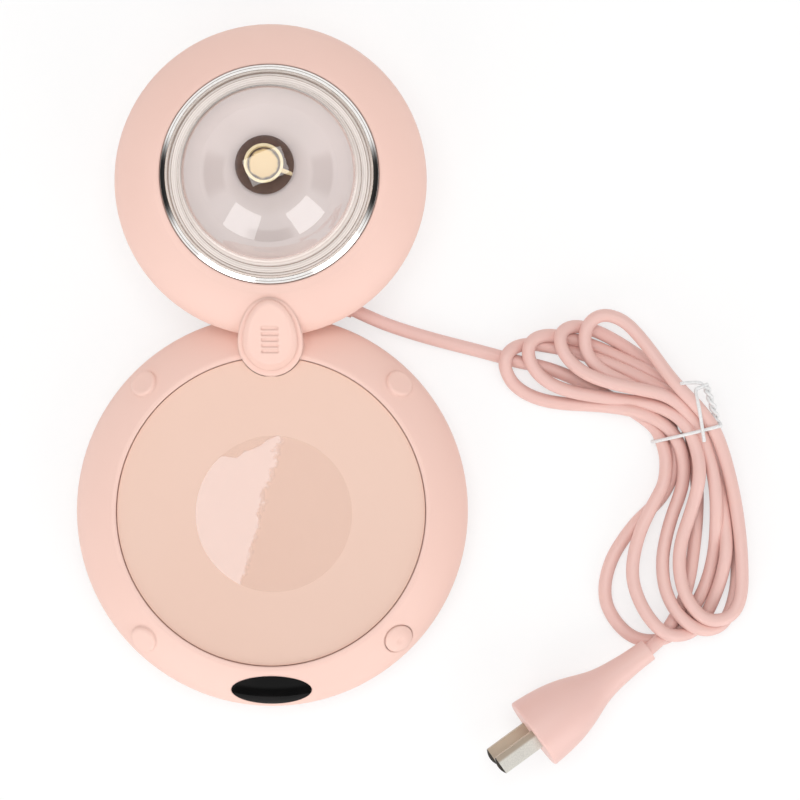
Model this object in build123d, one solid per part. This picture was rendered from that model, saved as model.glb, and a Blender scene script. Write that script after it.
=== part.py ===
"""Electric mug warmer: a round heated base with a rigid lamp head behind it, and a mains cord.

Millimetres. Z is up, and z = 0 is the underside of the rubber feet. The display is at the front, -Y,
and the lamp head is at the back, +Y. The origin is midway between the front and back rims.
"""

from build123d import *
import math
import os

os.makedirs("parts", exist_ok=True)

# ---- driving dimensions -------------------------------------------------------------------------

# outline of the two housings
base_r = 65.0  # widest radius of the warming base
head_r = 51.2  # widest radius of the lamp head
head_overlap = 7.5  # how far the head reaches over the base's rim
base_rim_z = 9.0  # height of the base's widest line
base_seam_z = 7.5  # height of the joint between base shell and base cover
head_rim_z = 23.0  # height of the head's widest line
head_seam_z = 20.5  # height of the joint between head shell and head cover
floor_z = 1.2  # underside of both covers
shell_wall = 2.0
cover_wall = 2.0

ring_leave = 22.0  # ring's slope at its lip, below level, and how far it keeps that slope
ring_pull = 6.0
rim_pull = 5.0
head_leave = 10.0
head_pull = 5.0
head_rim_pull = 4.5
base_foot_in = 6.5  # where the base cover's floor starts to curve up, inside the rim
head_foot_in = 17.2
bowl_turn = 50.0  # head cover's side, below level, at the seam
bowl_pull = 11.0
bowl_foot_pull = 5.5
base_bowl_pull = 3.4
seam_in = 1.0  # head's seam line inside its widest line

# warming plate and what lies under it
ring_w = 14.25  # ring round the plate
plate_top_z = 20.0
plate_t = 2.0
plate_bevel = 0.15
plate_gap = 0.2  # visible gap round the plate
lip_w = 1.5  # ring's flat lip round the plate
lip_rise = 1.0  # lip above the plate
seal_t = 0.5
ledge_w = 2.4
ledge_t = 2.0
heater_in = 9.75  # inside the plate's edge
heater_t = 0.8
pad_t = 1.8
shield_in = 7.55
shield_t = 0.8
stud_r = 3.0  # threaded studs under the plate, which hold the shield
stud_in = 14.25
stud_angles = (30, 150, 270)

# lamp in the head
lamp_rim_w = 21.2  # head's rim outside the dome
chrome_out = 5.5  # chrome ring's edge outside the dome
chrome_w = 2.5
chrome_h = 3.0
chrome_slope_w = 1.75  # ring's outer slope
chrome_slope_h = 1.15
chrome_inner_h = 0.5  # its inner slope
chrome_round = 0.2
trim_gap = 0.25
flange_t = 2.0
dome_h = 27.5  # above its flange
dome_t = 1.4
dome_step_w = 2.0
dome_step_h = 0.7
lamp_shift = 1.2  # lamp centre behind the head's centre
lamp_top_z = 34.0  # shell's edge round the chrome ring
lamp_land = 1.85  # shell's flat top outside the chrome ring
seat_gap = 0.1
diffuser_t = 1.5
lamp_board_in = 5.0  # inside the dome's radius
lamp_board_z = 18.6
board_t = 1.6
led_count = 6
led_ring_in = 10.0

# figure under the dome: a cup on a saucer
saucer_r = 9.6
saucer_h = 1.8
cup_r = 6.4
cup_h = 8.0
cup_wall = 0.9
cup_x = -1.6
cup_y = 3.2  # from the lamp's centre

# raised bridge between the base and the head, with five grooves
bridge_in = 9.9  # middle of its round front end, inside the base's rim
bridge_r = 10.65
bridge_back = 14.9  # half length of its long back end
bridge_front_z = 20.0
bridge_back_z = 34.7
crown_in = 9.65
crown_r = 7.1
crown_back = 12.5
crown_front_z = 25.4
crown_back_z = 36.0
crown_round = 0.8
groove_count = 5
groove_pitch = 2.1
groove_w = 5.5
groove_l = 1.2
groove_end_r = 0.25
groove_depth = 0.35
groove_in = 8.75
neck_z = 8.0  # underside of the neck between the two housings
neck_in = 7.0
neck_gap = 0.2
passage_w = 10.0  # way for the wires through the neck
passage_z0 = 10.5
passage_z1 = 16.5
passage_l = 17.0

# push button, three matching bumps and display, on the ring's slope
control_in = 5.5  # where they stand, inside the base's rim
bump_angles = (45, 135, 225)
bump_r = 4.6
bump_h = 1.2
bump_round = 1.0
button_angle = 315
button_r = 4.85
button_gap = 0.25
button_crown = 1.5
button_travel = 0.8
button_flange_r = 5.7
button_flange_t = 1.0
button_stem_r = 2.0
dimple_r = 1.5
dimple_depth = 0.5
slide_gap = 0.15
button_seat = 2.4  # flat seat under the wall, below the ring's surface
button_stem_l = 1.05
plunger_r = 1.6
plunger_l = 2.0
plunger_gap = 0.1
switch_w = 6.0
switch_h = 3.5
switch_depth = 5.6
window_w = 26.7
window_l = 12.6
window_t = 1.5
window_ledge = 1.4
window_gap = 0.12
display_w = 22.0
display_l = 7.6
display_t = 2.6
display_depth = 3.2  # display's face below the window
small_board_t = 1.2
panel_board_l = 9.0
button_board_w = 20.0
display_board_w = 30.0
display_board_shift = 1.5  # towards the rim, clear of the plate's ledge
post_r = 1.8
post_inset = 2.0

# control board in the base
board_w = 62.0
board_l = 46.0
board_z = 4.9
board_y = 2.0  # from the base centre
standoff_r = 2.6
standoff_inset = 3.5
block_w = 12.0  # mains terminal on the board
block_l = 8.0
block_h = 6.0
block_x = -12.0
plug_in_w = 8.0  # lamp wires' connector on the board
plug_in_l = 6.0
plug_in_h = 5.0
plug_in_x = 11.0
edge_in = 3.0  # connectors' rear faces inside the board's rear edge
can_in = 10.0  # capacitors' and choke's middles inside the board's side edges
relay_in = 12.5
part_gap = 2.0
capacitor_r = 3.5
capacitor_h = 6.8
choke_w = 13.0
choke_l = 11.0
choke_h = 6.6
relay_w = 15.0
relay_l = 10.0
relay_h = 7.0
chip_w = 10.0
chip_h = 1.4
lead_gap = 1.1  # heater's leads to the relay's inner side
heater_lead_y = -8.0
probe_r = 1.6
probe_h = 1.6
fuse_r = 1.6
fuse_l = 9.0
fuse_in = 12.2  # inside the shield's edge
lead_hole = 0.7  # clearance round a lead in the pad and the shield

# screws, bosses and feet
screw_r = 1.4
screw_l = 8.0
screw_head_r = 2.7
screw_head_h = 1.6
small_screw_r = 0.9
small_screw_l = 4.2
small_head_r = 1.8
small_head_h = 1.1
thread_gap = 0.05
boss_r = 3.2
cover_boss_r = 4.6
cover_boss_top = 6.0
screw_recess = 0.6  # screw head above the cover's underside
base_boss_in = 10.0
base_boss_angles = (20, 160, 200, 340)
head_boss_in = 20.8
head_boss_angles = (90, 210, 330)
foot_r = 4.5
foot_t = 2.0
foot_in = 19.0
foot_angles = (45, 135, 225, 315)
head_foot_pad_in = 30.2
head_foot_angles = (30, 150, 270)

# mains cord, its strain relief and its plug
cord_d = 4.4
exit_in = 12.2  # where the cord crosses the head cover's wall, inside the head's rim
exit_angle = -68.2
exit_z = 7.4
exit_turn = -25.0  # heading, from +X
port_r = 5.2
port_out = 7.5
port_in = 9.0
relief_hole_r = 3.0
relief_gap = 0.1
relief_r = 3.8
relief_tip_r = 2.75
relief_l = 6.5
relief_flange_r = 4.4
relief_flange_t = 1.6
relief_groove = 0.5
relief_pitch = 1.9
sheath_l = 11.5
wire_r = 0.9
wire_pitch = 2.4
clamp_l = 5.0
clamp_w = 14.0
clamp_t = 2.0
clamp_in = 17.0  # clamp's middle, inside the wall
clamp_post_r = 2.0
terminal_w = 10.0
terminal_l = 9.0
terminal_h = 8.0
terminal_in = 29.5  # block's middle, inside the wall
wire_z = 14.0  # wires in the passage
thin_wire_r = 0.6
probe_wire_r = 0.35
plug_tail_r = 3.8
blade_w = 6.35
blade_t = 1.5
blade_gap = 12.7
blade_l = 15.9
blade_root = 8.0
blade_bevel_l = 1.0
blade_tip_t = 0.5
blade_turn = 10.5  # blades' roll about the plug's own line, from upright
plug_front_at = (21.4, -121.6, 12.5)  # x from the base's right rim, here and below
plug_tail_at = (60.0, -93.9, 8.2)
plug_outline = ((12.4, 0), (11.7, 8), (10.6, 14), (8.5, 20.6), (6.0, 27.3), (4.6, 35), (4.0, 42))
lead_run = 6.0  # cord from the strain relief to its first bend
lead_route = ((-24.0, 13.1, 5.2), (-10.5, 9.3, 2.5), (1.5, 6.3, 2.25), (12.2, 3.8, 2.25))
tail_run = 3.0  # cord from the plug to its first bend
tail_route = ((64.67, -90.21, 7.46), (66.43, -88.39, 6.87))

# the cord's hank: a wide loop end on each side of the tie, as circles (x, y, radius)
hank_h = 9.0
hank_edge = 3.0
hank_tie = (73.2, -21.5, 10.6)
hank_top = ((23.3, -0.2, 12.6), (46.0, 9.4, 10.8))
hank_bottom = ((62.5, -73.5, 17.0), (77.9, -71.0, 16.0))
tie_turn = 14.5  # the tie's slant across the hank
neck_w = 21.0
neck_h = 12.6
neck_l = 24.0
tie_neck_t = 11.3
tie_wire_r = 0.55
tie_groove = 1.2
tie_groove_w = 1.8
tie_gap = 0.04
groove_corner = 2.4
tie_ends = (
    (81.9, -19.25, 11.1), (82.9, -18.0, 12.7), (82.9, -11.5, 13.3), (78.6, -6.6, 13.3), (71.2, -5.0, 12.2)
)

# ---- values that follow -------------------------------------------------------------------------

head_offset = base_r + head_r - head_overlap  # base centre to head centre
total_l = base_r + head_offset + head_r
base_y = base_r - total_l / 2
head_y = base_y + head_offset
lamp_y = head_y + lamp_shift
cover_top_z = floor_z + cover_wall
head_seam_r = head_r - seam_in
base_foot_r = base_r - base_foot_in
head_foot_r = head_r - head_foot_in
base_boss_ring_r = base_r - base_boss_in
head_boss_ring_r = head_r - head_boss_in
foot_ring_r = base_r - foot_in
head_foot_ring_r = head_r - head_foot_pad_in

plate_r = base_r - ring_w
heater_r = plate_r - heater_in
shield_r = plate_r - shield_in
stud_ring_r = plate_r - stud_in
fuse_y = fuse_in - shield_r
pocket_r = plate_r + plate_gap
lip_z = plate_top_z + lip_rise
lip_r = pocket_r + lip_w
heater_top_z = plate_top_z - plate_t
ledge_top_z = heater_top_z - seal_t
ledge_bottom_z = ledge_top_z - ledge_t
ledge_r = pocket_r - ledge_w
pad_top_z = heater_top_z - heater_t
shield_top_z = pad_top_z - pad_t
shield_bottom_z = shield_top_z - shield_t

dome_r = head_r - lamp_rim_w
chrome_r = dome_r + chrome_out
trim_r = chrome_r + trim_gap
land_r = trim_r + lamp_land
flange_r = trim_r - seat_gap - 0.85
flange_top_z = lamp_top_z - 1.5
flange_bottom_z = flange_top_z - flange_t
diffuser_r = dome_r + 1.2
diffuser_bottom_z = flange_bottom_z - diffuser_t
lamp_ledge_r = dome_r - dome_t
lamp_ledge_z = diffuser_bottom_z - 1.8
lamp_board_r = dome_r - lamp_board_in
led_ring_r = lamp_board_r - led_ring_in

bridge_y = base_r - bridge_in
crown_y = base_r - crown_in
groove_y = base_r - groove_in
neck_front_y = base_r - neck_in
passage_end_y = base_y + neck_front_y - 1 + passage_l
control_r = base_r - control_in

screw_seat_z = floor_z + screw_recess + screw_head_h
board_top_z = board_z + board_t
lamp_board_top_z = lamp_board_z + board_t
button_flange_top = button_seat + slide_gap
button_stem_top = button_flange_top + button_flange_t
plunger_top = button_stem_top + button_stem_l
button_board_depth = switch_depth + switch_h
display_board_depth = display_depth + display_t
cord_r = cord_d / 2
board_rear_y = board_y + board_l / 2
can_x = board_w / 2 - can_in
relay_x = relay_in - board_w / 2
heater_lead_x = -relay_x - relay_w / 2 - lead_gap - wire_r  # each side of the base's middle
exit_x = (head_r - exit_in) * math.cos(math.radians(exit_angle))
exit_y = (head_r - exit_in) * math.sin(math.radians(exit_angle))
plug_front = Vector(base_r, 0, 0) + Vector(*plug_front_at)
plug_tail = Vector(base_r, 0, 0) + Vector(*plug_tail_at)


# ---- helpers ------------------------------------------------------------------------------------


def polar(radius, angle, y, z=0.0):
    """Point at a radius and an angle in degrees about (0, y)."""
    turn = math.radians(angle)
    return (radius * math.cos(turn), y + radius * math.sin(turn), z)


def disc(radius, z0, z1, centre=(0, 0)):
    """Upright cylinder from z0 to z1."""
    return Pos(centre[0], centre[1], z0) * extrude(Circle(radius), z1 - z0)


def ring(outer, inner, z0, z1, centre=(0, 0)):
    return disc(outer, z0, z1, centre) - disc(inner, z0 - 1, z1 + 1, centre)


def block(size_x, size_y, z0, z1, centre=(0, 0)):
    return Pos(centre[0], centre[1], z0) * extrude(Rectangle(size_x, size_y), z1 - z0)


def turned(*edges):
    """Solid of revolution about Z. The edges close an outline in the XZ plane."""
    return revolve(make_face(list(edges)), Axis.Z)


def line(*points):
    """Straight outline through (radius, z) points."""
    return Polyline(*[(r, 0, z) for r, z in points]).edges()


def slope(r0, z0, r1, z1, start_turn, start_pull, end_pull):
    """Convex outline that leaves (r0, z0) at start_turn below level and meets (r1, z1) upright."""
    turn = math.radians(start_turn)
    leave = (r0 + start_pull * math.cos(turn), 0, z0 - start_pull * math.sin(turn))
    return Bezier((r0, 0, z0), leave, (r1, 0, z1 + end_pull), (r1, 0, z1))


def base_slope(wall=0.0):
    """The ring's outer slope, or the inside of its wall."""
    low, foot = base_rim_z - wall / 2, base_r - wall
    return slope(lip_r, lip_z - 1.3 * wall, foot, low, ring_leave, ring_pull, rim_pull)


def head_slope(wall=0.0):
    low, foot = head_rim_z - wall / 2, head_r - wall
    return slope(land_r, lamp_top_z - 1.3 * wall, foot, low, head_leave, head_pull, head_rim_pull)


def slope_plane(angle, radius=control_r):
    """Plane on the ring's slope: local X runs round the ring, local Z points out of it."""
    curve = base_slope()
    low, high = 0.0, 1.0
    for _ in range(40):
        mid = (low + high) / 2
        if (curve @ mid).X < radius:
            low = mid
        else:
            high = mid
    point, along = curve @ low, curve % low
    turn = math.radians(angle)
    normal = Vector(-along.Z * math.cos(turn), -along.Z * math.sin(turn), along.X)
    round_the_ring = Vector(-math.sin(turn), math.cos(turn), 0)
    return Plane(Vector(*polar(point.X, angle, base_y, point.Z)), round_the_ring, normal)


def egg(round_r, back, y, grow=0.0):
    """Egg outline on z = 0: a half circle in front and a long half ellipse behind."""
    radius, tail = round_r + grow, back + grow
    left, right = (-radius, y, 0), (radius, y, 0)
    front = ThreePointArc(left, (0, y - radius, 0), right)
    rear = EllipticalCenterArc((0, y), radius, tail, start_angle=0, arc_size=180)
    return make_face([front, rear])


def raise_to(face, z_front, z_back, y_front, y_back):
    """The outline carried up onto a plane that climbs from front to back."""
    rise = math.atan2(z_back - z_front, y_back - y_front)
    slant = Plane((0, y_front, z_front), (1, 0, 0), (0, -math.sin(rise), math.cos(rise)))
    column = split(extrude(face, 2 * z_back), slant, keep=Keep.BOTTOM)
    return column.faces().sort_by(Axis.Z)[-1]


def screw(radius, length, head, head_h):
    """Pan-head screw, head up, with its seat at z = 0."""
    cap = disc(head, 0, head_h)
    body = disc(radius, -length, 0) + fillet(cap.edges().group_by(Axis.Z)[-1], head_h * 0.5)
    slot = block(head * 1.1, head * 0.28, head_h * 0.45, head_h + 1)
    return body - slot - Rot(0, 0, 90) * slot


def tube(points, radii, radius):
    """Round tube along straight runs joined by tangent arcs."""
    path = FilletPolyline(*points, radius=radii)
    start = Plane(path @ 0, z_dir=path % 0)
    return sweep(start * Circle(radius), path)


def arc_radii(points):
    """One arc radius for each corner: 0.45 of the shorter run over the tangent of half the turn."""
    radii = []
    for before, here, after in zip(points, points[1:], points[2:]):
        into, out = Vector(*here) - Vector(*before), Vector(*after) - Vector(*here)
        half_turn = math.radians(into.get_angle(out)) / 2
        radii.append(0.45 * min(into.length, out.length) / math.tan(half_turn))
    return radii


def save(name, shape):
    """Writes one node, whatever number of solids it holds."""
    solids = shape.solids()
    solids = solids[0] if len(solids) == 1 else Compound(children=list(solids))
    export_step(solids, f"parts/{name}.step")


# ---- housings -----------------------------------------------------------------------------------


def base_outer():
    """Full outer form of the base above its seam."""
    top = line((lip_r, lip_z), (0, lip_z), (0, base_seam_z), (base_r, base_seam_z), (base_r, base_rim_z))
    return Pos(0, base_y, 0) * turned(base_slope(), *top)


def base_inner():
    """Hollow of the base, open at the seam."""
    low = base_seam_z - 1
    foot = base_r - shell_wall
    roof = line((lip_r, lip_z - 1.3 * shell_wall), (lip_r, ledge_bottom_z), (0, ledge_bottom_z))
    side = line((0, ledge_bottom_z), (0, low), (foot, low), (foot, base_rim_z - shell_wall / 2))
    return Pos(0, base_y, 0) * turned(base_slope(shell_wall), *roof, *side)


def head_outer():
    """Full outer form of the head above its seam."""
    top = line((land_r, lamp_top_z), (0, lamp_top_z), (0, head_seam_z), (head_seam_r, head_seam_z))
    side = line((head_seam_r, head_seam_z), (head_r, head_rim_z))
    return Pos(0, head_y, 0) * turned(head_slope(), *top, *side)


def head_inner():
    """Hollow of the head, open at the seam."""
    low = head_seam_z - 1
    foot = head_seam_r - shell_wall
    roof = line((land_r, lamp_top_z - 1.3 * shell_wall), (land_r, lamp_ledge_z), (0, lamp_ledge_z))
    side = line((0, lamp_ledge_z), (0, low), (foot, low), (foot, head_seam_z))
    edge = line((foot, head_seam_z), (head_r - shell_wall, head_rim_z - shell_wall / 2))
    return Pos(0, head_y, 0) * turned(head_slope(shell_wall), *roof, *side, *edge)


def bridge(grow=0.0, drop=0.0):
    """Raised bridge: an egg-shaped column with a smaller, sloping crown, rounded at its edge."""
    foot = egg(bridge_r, bridge_back, base_y + bridge_y, grow)
    crown = egg(crown_r, crown_back, base_y + crown_y, grow)
    front, back = base_y + bridge_y - bridge_r, base_y + bridge_y + bridge_back
    foot_top = raise_to(foot, bridge_front_z - drop, bridge_back_z - drop, front, back)
    front, back = base_y + crown_y - crown_r, base_y + crown_y + crown_back
    crown_top = raise_to(crown, crown_front_z - drop, crown_back_z - drop, front, back)
    column = extrude(foot_top, amount=bridge_back_z, dir=(0, 0, -1))
    bevel = loft([foot_top, crown_top], ruled=True)
    return column + fillet(bevel.faces().sort_by(Axis.Z)[-1].edges(), crown_round)


def above(z, y=-total_l):
    """Everything above a height, from y on."""
    depth = 3 * total_l
    return block(2 * total_l, depth, z, 2 * total_l, (0, y + depth / 2))


def neck_outer(grow=0.0):
    """The bridge's column: down to the plate's ledge, and down to the neck between the housings."""
    form = bridge(grow)
    low = ledge_bottom_z - grow
    return (form & above(low)) + (form & above(neck_z - grow, base_y + neck_front_y - grow))


def neck_inner():
    form = bridge(-shell_wall, shell_wall + groove_depth)
    low = neck_z + shell_wall
    hollow = (form & above(ledge_bottom_z - 1)) + (form & above(low, base_y + neck_front_y - 1))
    middle = passage_end_y - passage_l / 2
    return hollow + block(passage_w, passage_l, passage_z0, passage_z1, (0, middle))


def grooves():
    """Grooves across the crown, sunk along its slope."""
    rise = math.degrees(math.atan2(crown_back_z - crown_front_z, crown_r + crown_back))
    middle = base_y + groove_y
    along = (groove_y - crown_y + crown_r) / (crown_r + crown_back)
    z = crown_front_z + along * (crown_back_z - crown_front_z)
    place = Pos(0, middle, z) * Rot(rise, 0, 0)
    cutter = extrude(RectangleRounded(groove_w, groove_l, groove_end_r), groove_depth, both=True)
    first = -(groove_count - 1) / 2
    return [place * Pos(0, (first + n) * groove_pitch, 0) * cutter for n in range(groove_count)]


def bump(angle):
    """Low flat bump with a rounded rim on the ring's slope, nearly as wide as the push button."""
    form = Pos(0, 0, -shell_wall / 2) * extrude(Circle(bump_r), shell_wall / 2 + bump_h)
    return slope_plane(angle).location * fillet(form.edges().group_by(Axis.Z)[-1], bump_round)


def lamp_pocket():
    """Steps in the head's top for the chrome ring, the dome's flange and the diffuser."""
    centre = (0, lamp_y)
    ring_seat = disc(trim_r, flange_bottom_z, lamp_top_z + 1, centre)
    diffuser_seat = disc(diffuser_r + seat_gap, diffuser_bottom_z, lamp_top_z, centre)
    return ring_seat + diffuser_seat + disc(lamp_ledge_r, lamp_ledge_z - 1, lamp_top_z, centre)


def shell_bosses():
    """Screw bosses under both housings."""
    places = [polar(base_boss_ring_r, a, base_y) for a in base_boss_angles]
    solid_base = base_outer() + disc(base_r, 0, base_seam_z, (0, base_y))
    bosses = [disc(boss_r, cover_boss_top, lip_z, p) & solid_base for p in places]
    places = [polar(head_boss_ring_r, a, head_y) for a in head_boss_angles]
    bosses += [disc(boss_r, cover_boss_top, lamp_ledge_z + 0.5, p) for p in places]
    return bosses


def boss_places():
    """Centres of all cover screws."""
    base = [polar(base_boss_ring_r, a, base_y) for a in base_boss_angles]
    return base + [polar(head_boss_ring_r, a, head_y) for a in head_boss_angles]


def panel_posts(angle, width, depth, shift=0.0):
    """Two posts from the ring's wall to a small board, and the holes in them."""
    place = slope_plane(angle).location
    posts, holes = [], []
    hole_l = small_screw_l - small_board_t + 0.3
    for side in (-1, 1):
        foot = place * Pos(side * (width / 2 - post_inset), -shift, -depth)
        posts.append((foot * extrude(Circle(post_r), depth)) & base_outer())
        holes.append(foot * extrude(Circle(small_screw_r + thread_gap), hole_l))
    return posts, holes


def window_cut():
    """Stepped oval opening for the display window."""
    place = slope_plane(270).location
    seat = place * Pos(0, 0, -window_t) * extrude(Ellipse(window_w / 2, window_l / 2), 5)
    hole = Ellipse(window_w / 2 - window_ledge, window_l / 2 - window_ledge)
    return seat + place * extrude(hole, 2 * shell_wall, both=True)


def button_cut():
    """Hole for the push button, and the flat seat under it for the button's flange."""
    place = slope_plane(button_angle).location
    hole = place * extrude(Circle(button_r + button_gap), 2 * shell_wall, both=True)
    seat = place * Pos(0, 0, -button_seat) * extrude(Circle(button_flange_r + button_gap), -3)
    return hole + seat


def upper_shell():
    outer = base_outer() + head_outer() + neck_outer()
    for angle in bump_angles:
        outer += bump(angle)
    shell = outer - base_inner() - head_inner() - neck_inner() - lamp_pocket()
    plate_pocket = disc(pocket_r, ledge_top_z, lip_z + 1, (0, base_y))
    plate_pocket += disc(ledge_r, ledge_bottom_z - 1, lip_z, (0, base_y))
    shell -= plate_pocket - neck_outer()
    shell = shell - grooves() + shell_bosses()
    button_posts, button_holes = panel_posts(button_angle, button_board_w, button_board_depth)
    display_posts, display_holes = panel_posts(
        270, display_board_w, display_board_depth, display_board_shift
    )
    shell = shell + button_posts + display_posts
    depth = screw_seat_z + screw_l + 0.5
    threads = [disc(screw_r + thread_gap, cover_boss_top - 1, depth, p) for p in boss_places()]
    return shell - window_cut() - button_cut() - button_holes - display_holes - threads


def bowl(r0, z0, r1, z1, turn, pull, foot_pull):
    """Outline of a cover's side, from its seam down to its floor."""
    rad = math.radians(turn)
    leave = (r0 - pull * math.cos(rad), 0, z0 - pull * math.sin(rad))
    return Bezier((r0, 0, z0), leave, (r1 + foot_pull, 0, z1), (r1, 0, z1))


def cover(centre_y, seam_r, seam_z, foot, turn, pull, foot_pull):
    """Dished cover with a level floor."""
    outside = bowl(seam_r, seam_z, foot, floor_z, turn, pull, foot_pull)
    form = turned(outside, *line((foot, floor_z), (0, floor_z), (0, seam_z), (seam_r, seam_z)))
    inner_r = seam_r - cover_wall
    inside = bowl(inner_r, seam_z, foot - cover_wall / 2, cover_top_z, turn, pull, foot_pull)
    corner = (foot - cover_wall / 2, cover_top_z)
    hollow = turned(inside, *line(corner, (0, cover_top_z), (0, seam_z), (inner_r, seam_z)))
    return Pos(0, centre_y, 0) * form, Pos(0, centre_y, 0) * hollow


def cover_bosses(places, form):
    """Bosses round the cover screws, with their holes and head recesses."""
    bosses = [disc(cover_boss_r, floor_z, cover_boss_top, p) & form for p in places]
    holes = [disc(screw_r + 0.2, 0, cover_boss_top + 1, p) for p in places]
    recesses = [disc(screw_head_r + 0.3, 0, screw_seat_z, p) for p in places]
    return bosses, holes + recesses


def foot_places():
    base = [polar(foot_ring_r, a, base_y) for a in foot_angles]
    head = [polar(head_foot_ring_r, a, head_y) for a in head_foot_angles]
    return base, head


def board_screw_places():
    """Corners of the control board."""
    x, y = board_w / 2 - standoff_inset, board_l / 2 - standoff_inset
    return [(sx * x, base_y + board_y + sy * y) for sx in (-1, 1) for sy in (-1, 1)]


def base_bottom_cover():
    form, hollow = cover(base_y, base_r, base_seam_z, base_foot_r, 90, base_bowl_pull, base_bowl_pull)
    bosses, holes = cover_bosses(boss_places()[: len(base_boss_angles)], form)
    standoffs = [disc(standoff_r, floor_z, board_z, p) for p in board_screw_places()]
    threads = [disc(small_screw_r + thread_gap, board_top_z - small_screw_l - 0.3, board_top_z, p)
               for p in board_screw_places()]
    feet = [disc(foot_r, 0, foot_t, p) for p in foot_places()[0]]
    return form - hollow + bosses + standoffs - holes - threads - feet


def exit_plane():
    """Plane where the cord leaves: local Z points out along the cord, local Y points up."""
    turn = math.radians(exit_turn)
    ahead = Vector(math.cos(turn), math.sin(turn), 0)
    return Plane((exit_x, head_y + exit_y, exit_z), ahead.cross(Vector(0, 0, 1)) * -1, ahead)


def along_exit(radius, start, length):
    """Round piece on the cord's line at its exit."""
    return exit_plane().location * Pos(0, 0, start) * extrude(Circle(radius), length)


def inside_exit(distance, z):
    """Place under or over the cord inside the housing, turned with the cord."""
    middle = exit_plane().from_local_coords(Vector(0, 0, -distance))
    return Pos(middle.X, middle.Y, z) * Rot(0, 0, exit_turn)


def clamp_posts():
    """Places of the two posts under the cord clamp."""
    place = exit_plane()
    side = clamp_w / 2 - clamp_post_r + 0.2
    return [place.from_local_coords(Vector(s * side, 0, -clamp_in)) for s in (-1, 1)]


def lamp_posts():
    return [polar(lamp_board_r - 6, a, head_y) for a in (30, 150, 270)]


def head_bottom_cover():
    form, hollow = cover(
        head_y, head_seam_r, head_seam_z, head_foot_r, bowl_turn, bowl_pull, bowl_foot_pull
    )
    bosses, holes = cover_bosses(boss_places()[len(base_boss_angles):], form)
    port = along_exit(port_r, -port_in, port_in + port_out)
    saddle_h = exit_z - cord_r - floor_z
    saddle = inside_exit(clamp_in, floor_z) * extrude(Rectangle(clamp_l, cord_d), saddle_h)
    clamp_z = exit_z + cord_r
    clamp_feet = [disc(clamp_post_r, floor_z, clamp_z, (p.X, p.Y)) & form for p in clamp_posts()]
    lamp_feet = [disc(2.6, floor_z, lamp_board_z, p) for p in lamp_posts()]
    clamp_threads = [disc(small_screw_r + thread_gap, clamp_z + clamp_t - small_screw_l - 0.3, clamp_z + 1,
                          (p.X, p.Y)) for p in clamp_posts()]
    lamp_threads = [disc(small_screw_r + thread_gap, lamp_board_top_z - small_screw_l - 0.3,
                         lamp_board_z + 1, p) for p in lamp_posts()]
    feet = [disc(foot_r, 0, foot_t, p) for p in foot_places()[1]]
    shell = form - hollow + bosses + port + saddle + clamp_feet + lamp_feet
    bore = along_exit(relief_hole_r, -port_in - 1, port_in + port_out + 2)
    inside = along_exit(relief_flange_r + 0.3, -port_in - relief_flange_t - 1.5, relief_flange_t + 1.5)
    return shell - holes - bore - inside - neck_outer(neck_gap) - clamp_threads - lamp_threads - feet


def base_place(x, y):
    """Point given from the base's centre."""
    return (x, base_y + y)


def screws(places, z, radius, length, head, head_h):
    """Identical screws, driven down from z."""
    return Compound(children=[Pos(p[0], p[1], z) * screw(radius, length, head, head_h) for p in places])


def driven_up(places, z, radius, length, head, head_h):
    """Identical screws, driven up from z."""
    flip = Rot(180, 0, 0)
    return Compound(
        children=[Pos(p[0], p[1], z) * flip * screw(radius, length, head, head_h) for p in places]
    )


def small_screws(places, z):
    return screws(places, z, small_screw_r, small_screw_l, small_head_r, small_head_h)


# ---- warming plate and heater -------------------------------------------------------------------


def stud_places():
    return [polar(stud_ring_r, a, base_y) for a in stud_angles]


def lead_places():
    """Heater's two leads."""
    return [base_place(side * heater_lead_x, heater_lead_y) for side in (-1, 1)]


def heating_plate():
    plate = disc(plate_r, heater_top_z, plate_top_z, (0, base_y))
    plate = chamfer(plate.edges().group_by(Axis.Z)[-1], plate_bevel) - neck_outer(plate_gap)
    studs = [disc(stud_r, shield_top_z, heater_top_z, p) for p in stud_places()]
    top = shield_bottom_z + small_screw_l + 0.3
    hole_r = small_screw_r + thread_gap
    return plate + studs - [disc(hole_r, shield_bottom_z, top, p) for p in stud_places()]


def plate_seal():
    return ring(plate_r, ledge_r, ledge_top_z, heater_top_z, (0, base_y)) - neck_outer(plate_gap)


def heater_layer(radius, z0, z1, stud_hole, middle_hole):
    """Disc under the plate with holes for the studs or screws, the probe and, if low, the leads."""
    layer = disc(radius, z0, z1, (0, base_y)) - disc(middle_hole, z0 - 1, z1 + 1, (0, base_y))
    layer -= [disc(stud_hole, z0 - 1, z1 + 1, p) for p in stud_places()]
    if z1 <= pad_top_z:
        layer -= [disc(wire_r + lead_hole, z0 - 1, z1 + 1, p) for p in lead_places()]
    return layer


def heat_shield():
    """Shield with a clip for the thermal fuse."""
    shield = heater_layer(shield_r, shield_bottom_z, shield_top_z, small_screw_r + 0.2, probe_r)
    place = Pos(0, base_y + fuse_y, shield_bottom_z - fuse_r) * Rot(0, 90, 0)
    clip = place * extrude(Circle(fuse_r + 0.6) - Circle(fuse_r), 2, both=True)
    return shield + (clip - above(shield_top_z))


def thermal_fuse():
    """Fuse body with its two stiff leads."""
    place = Pos(0, base_y + fuse_y, shield_bottom_z - fuse_r) * Rot(0, 90, 0)
    body = place * extrude(Circle(fuse_r), fuse_l / 2, both=True)
    return body + place * extrude(Circle(probe_wire_r), fuse_l, both=True)


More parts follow.
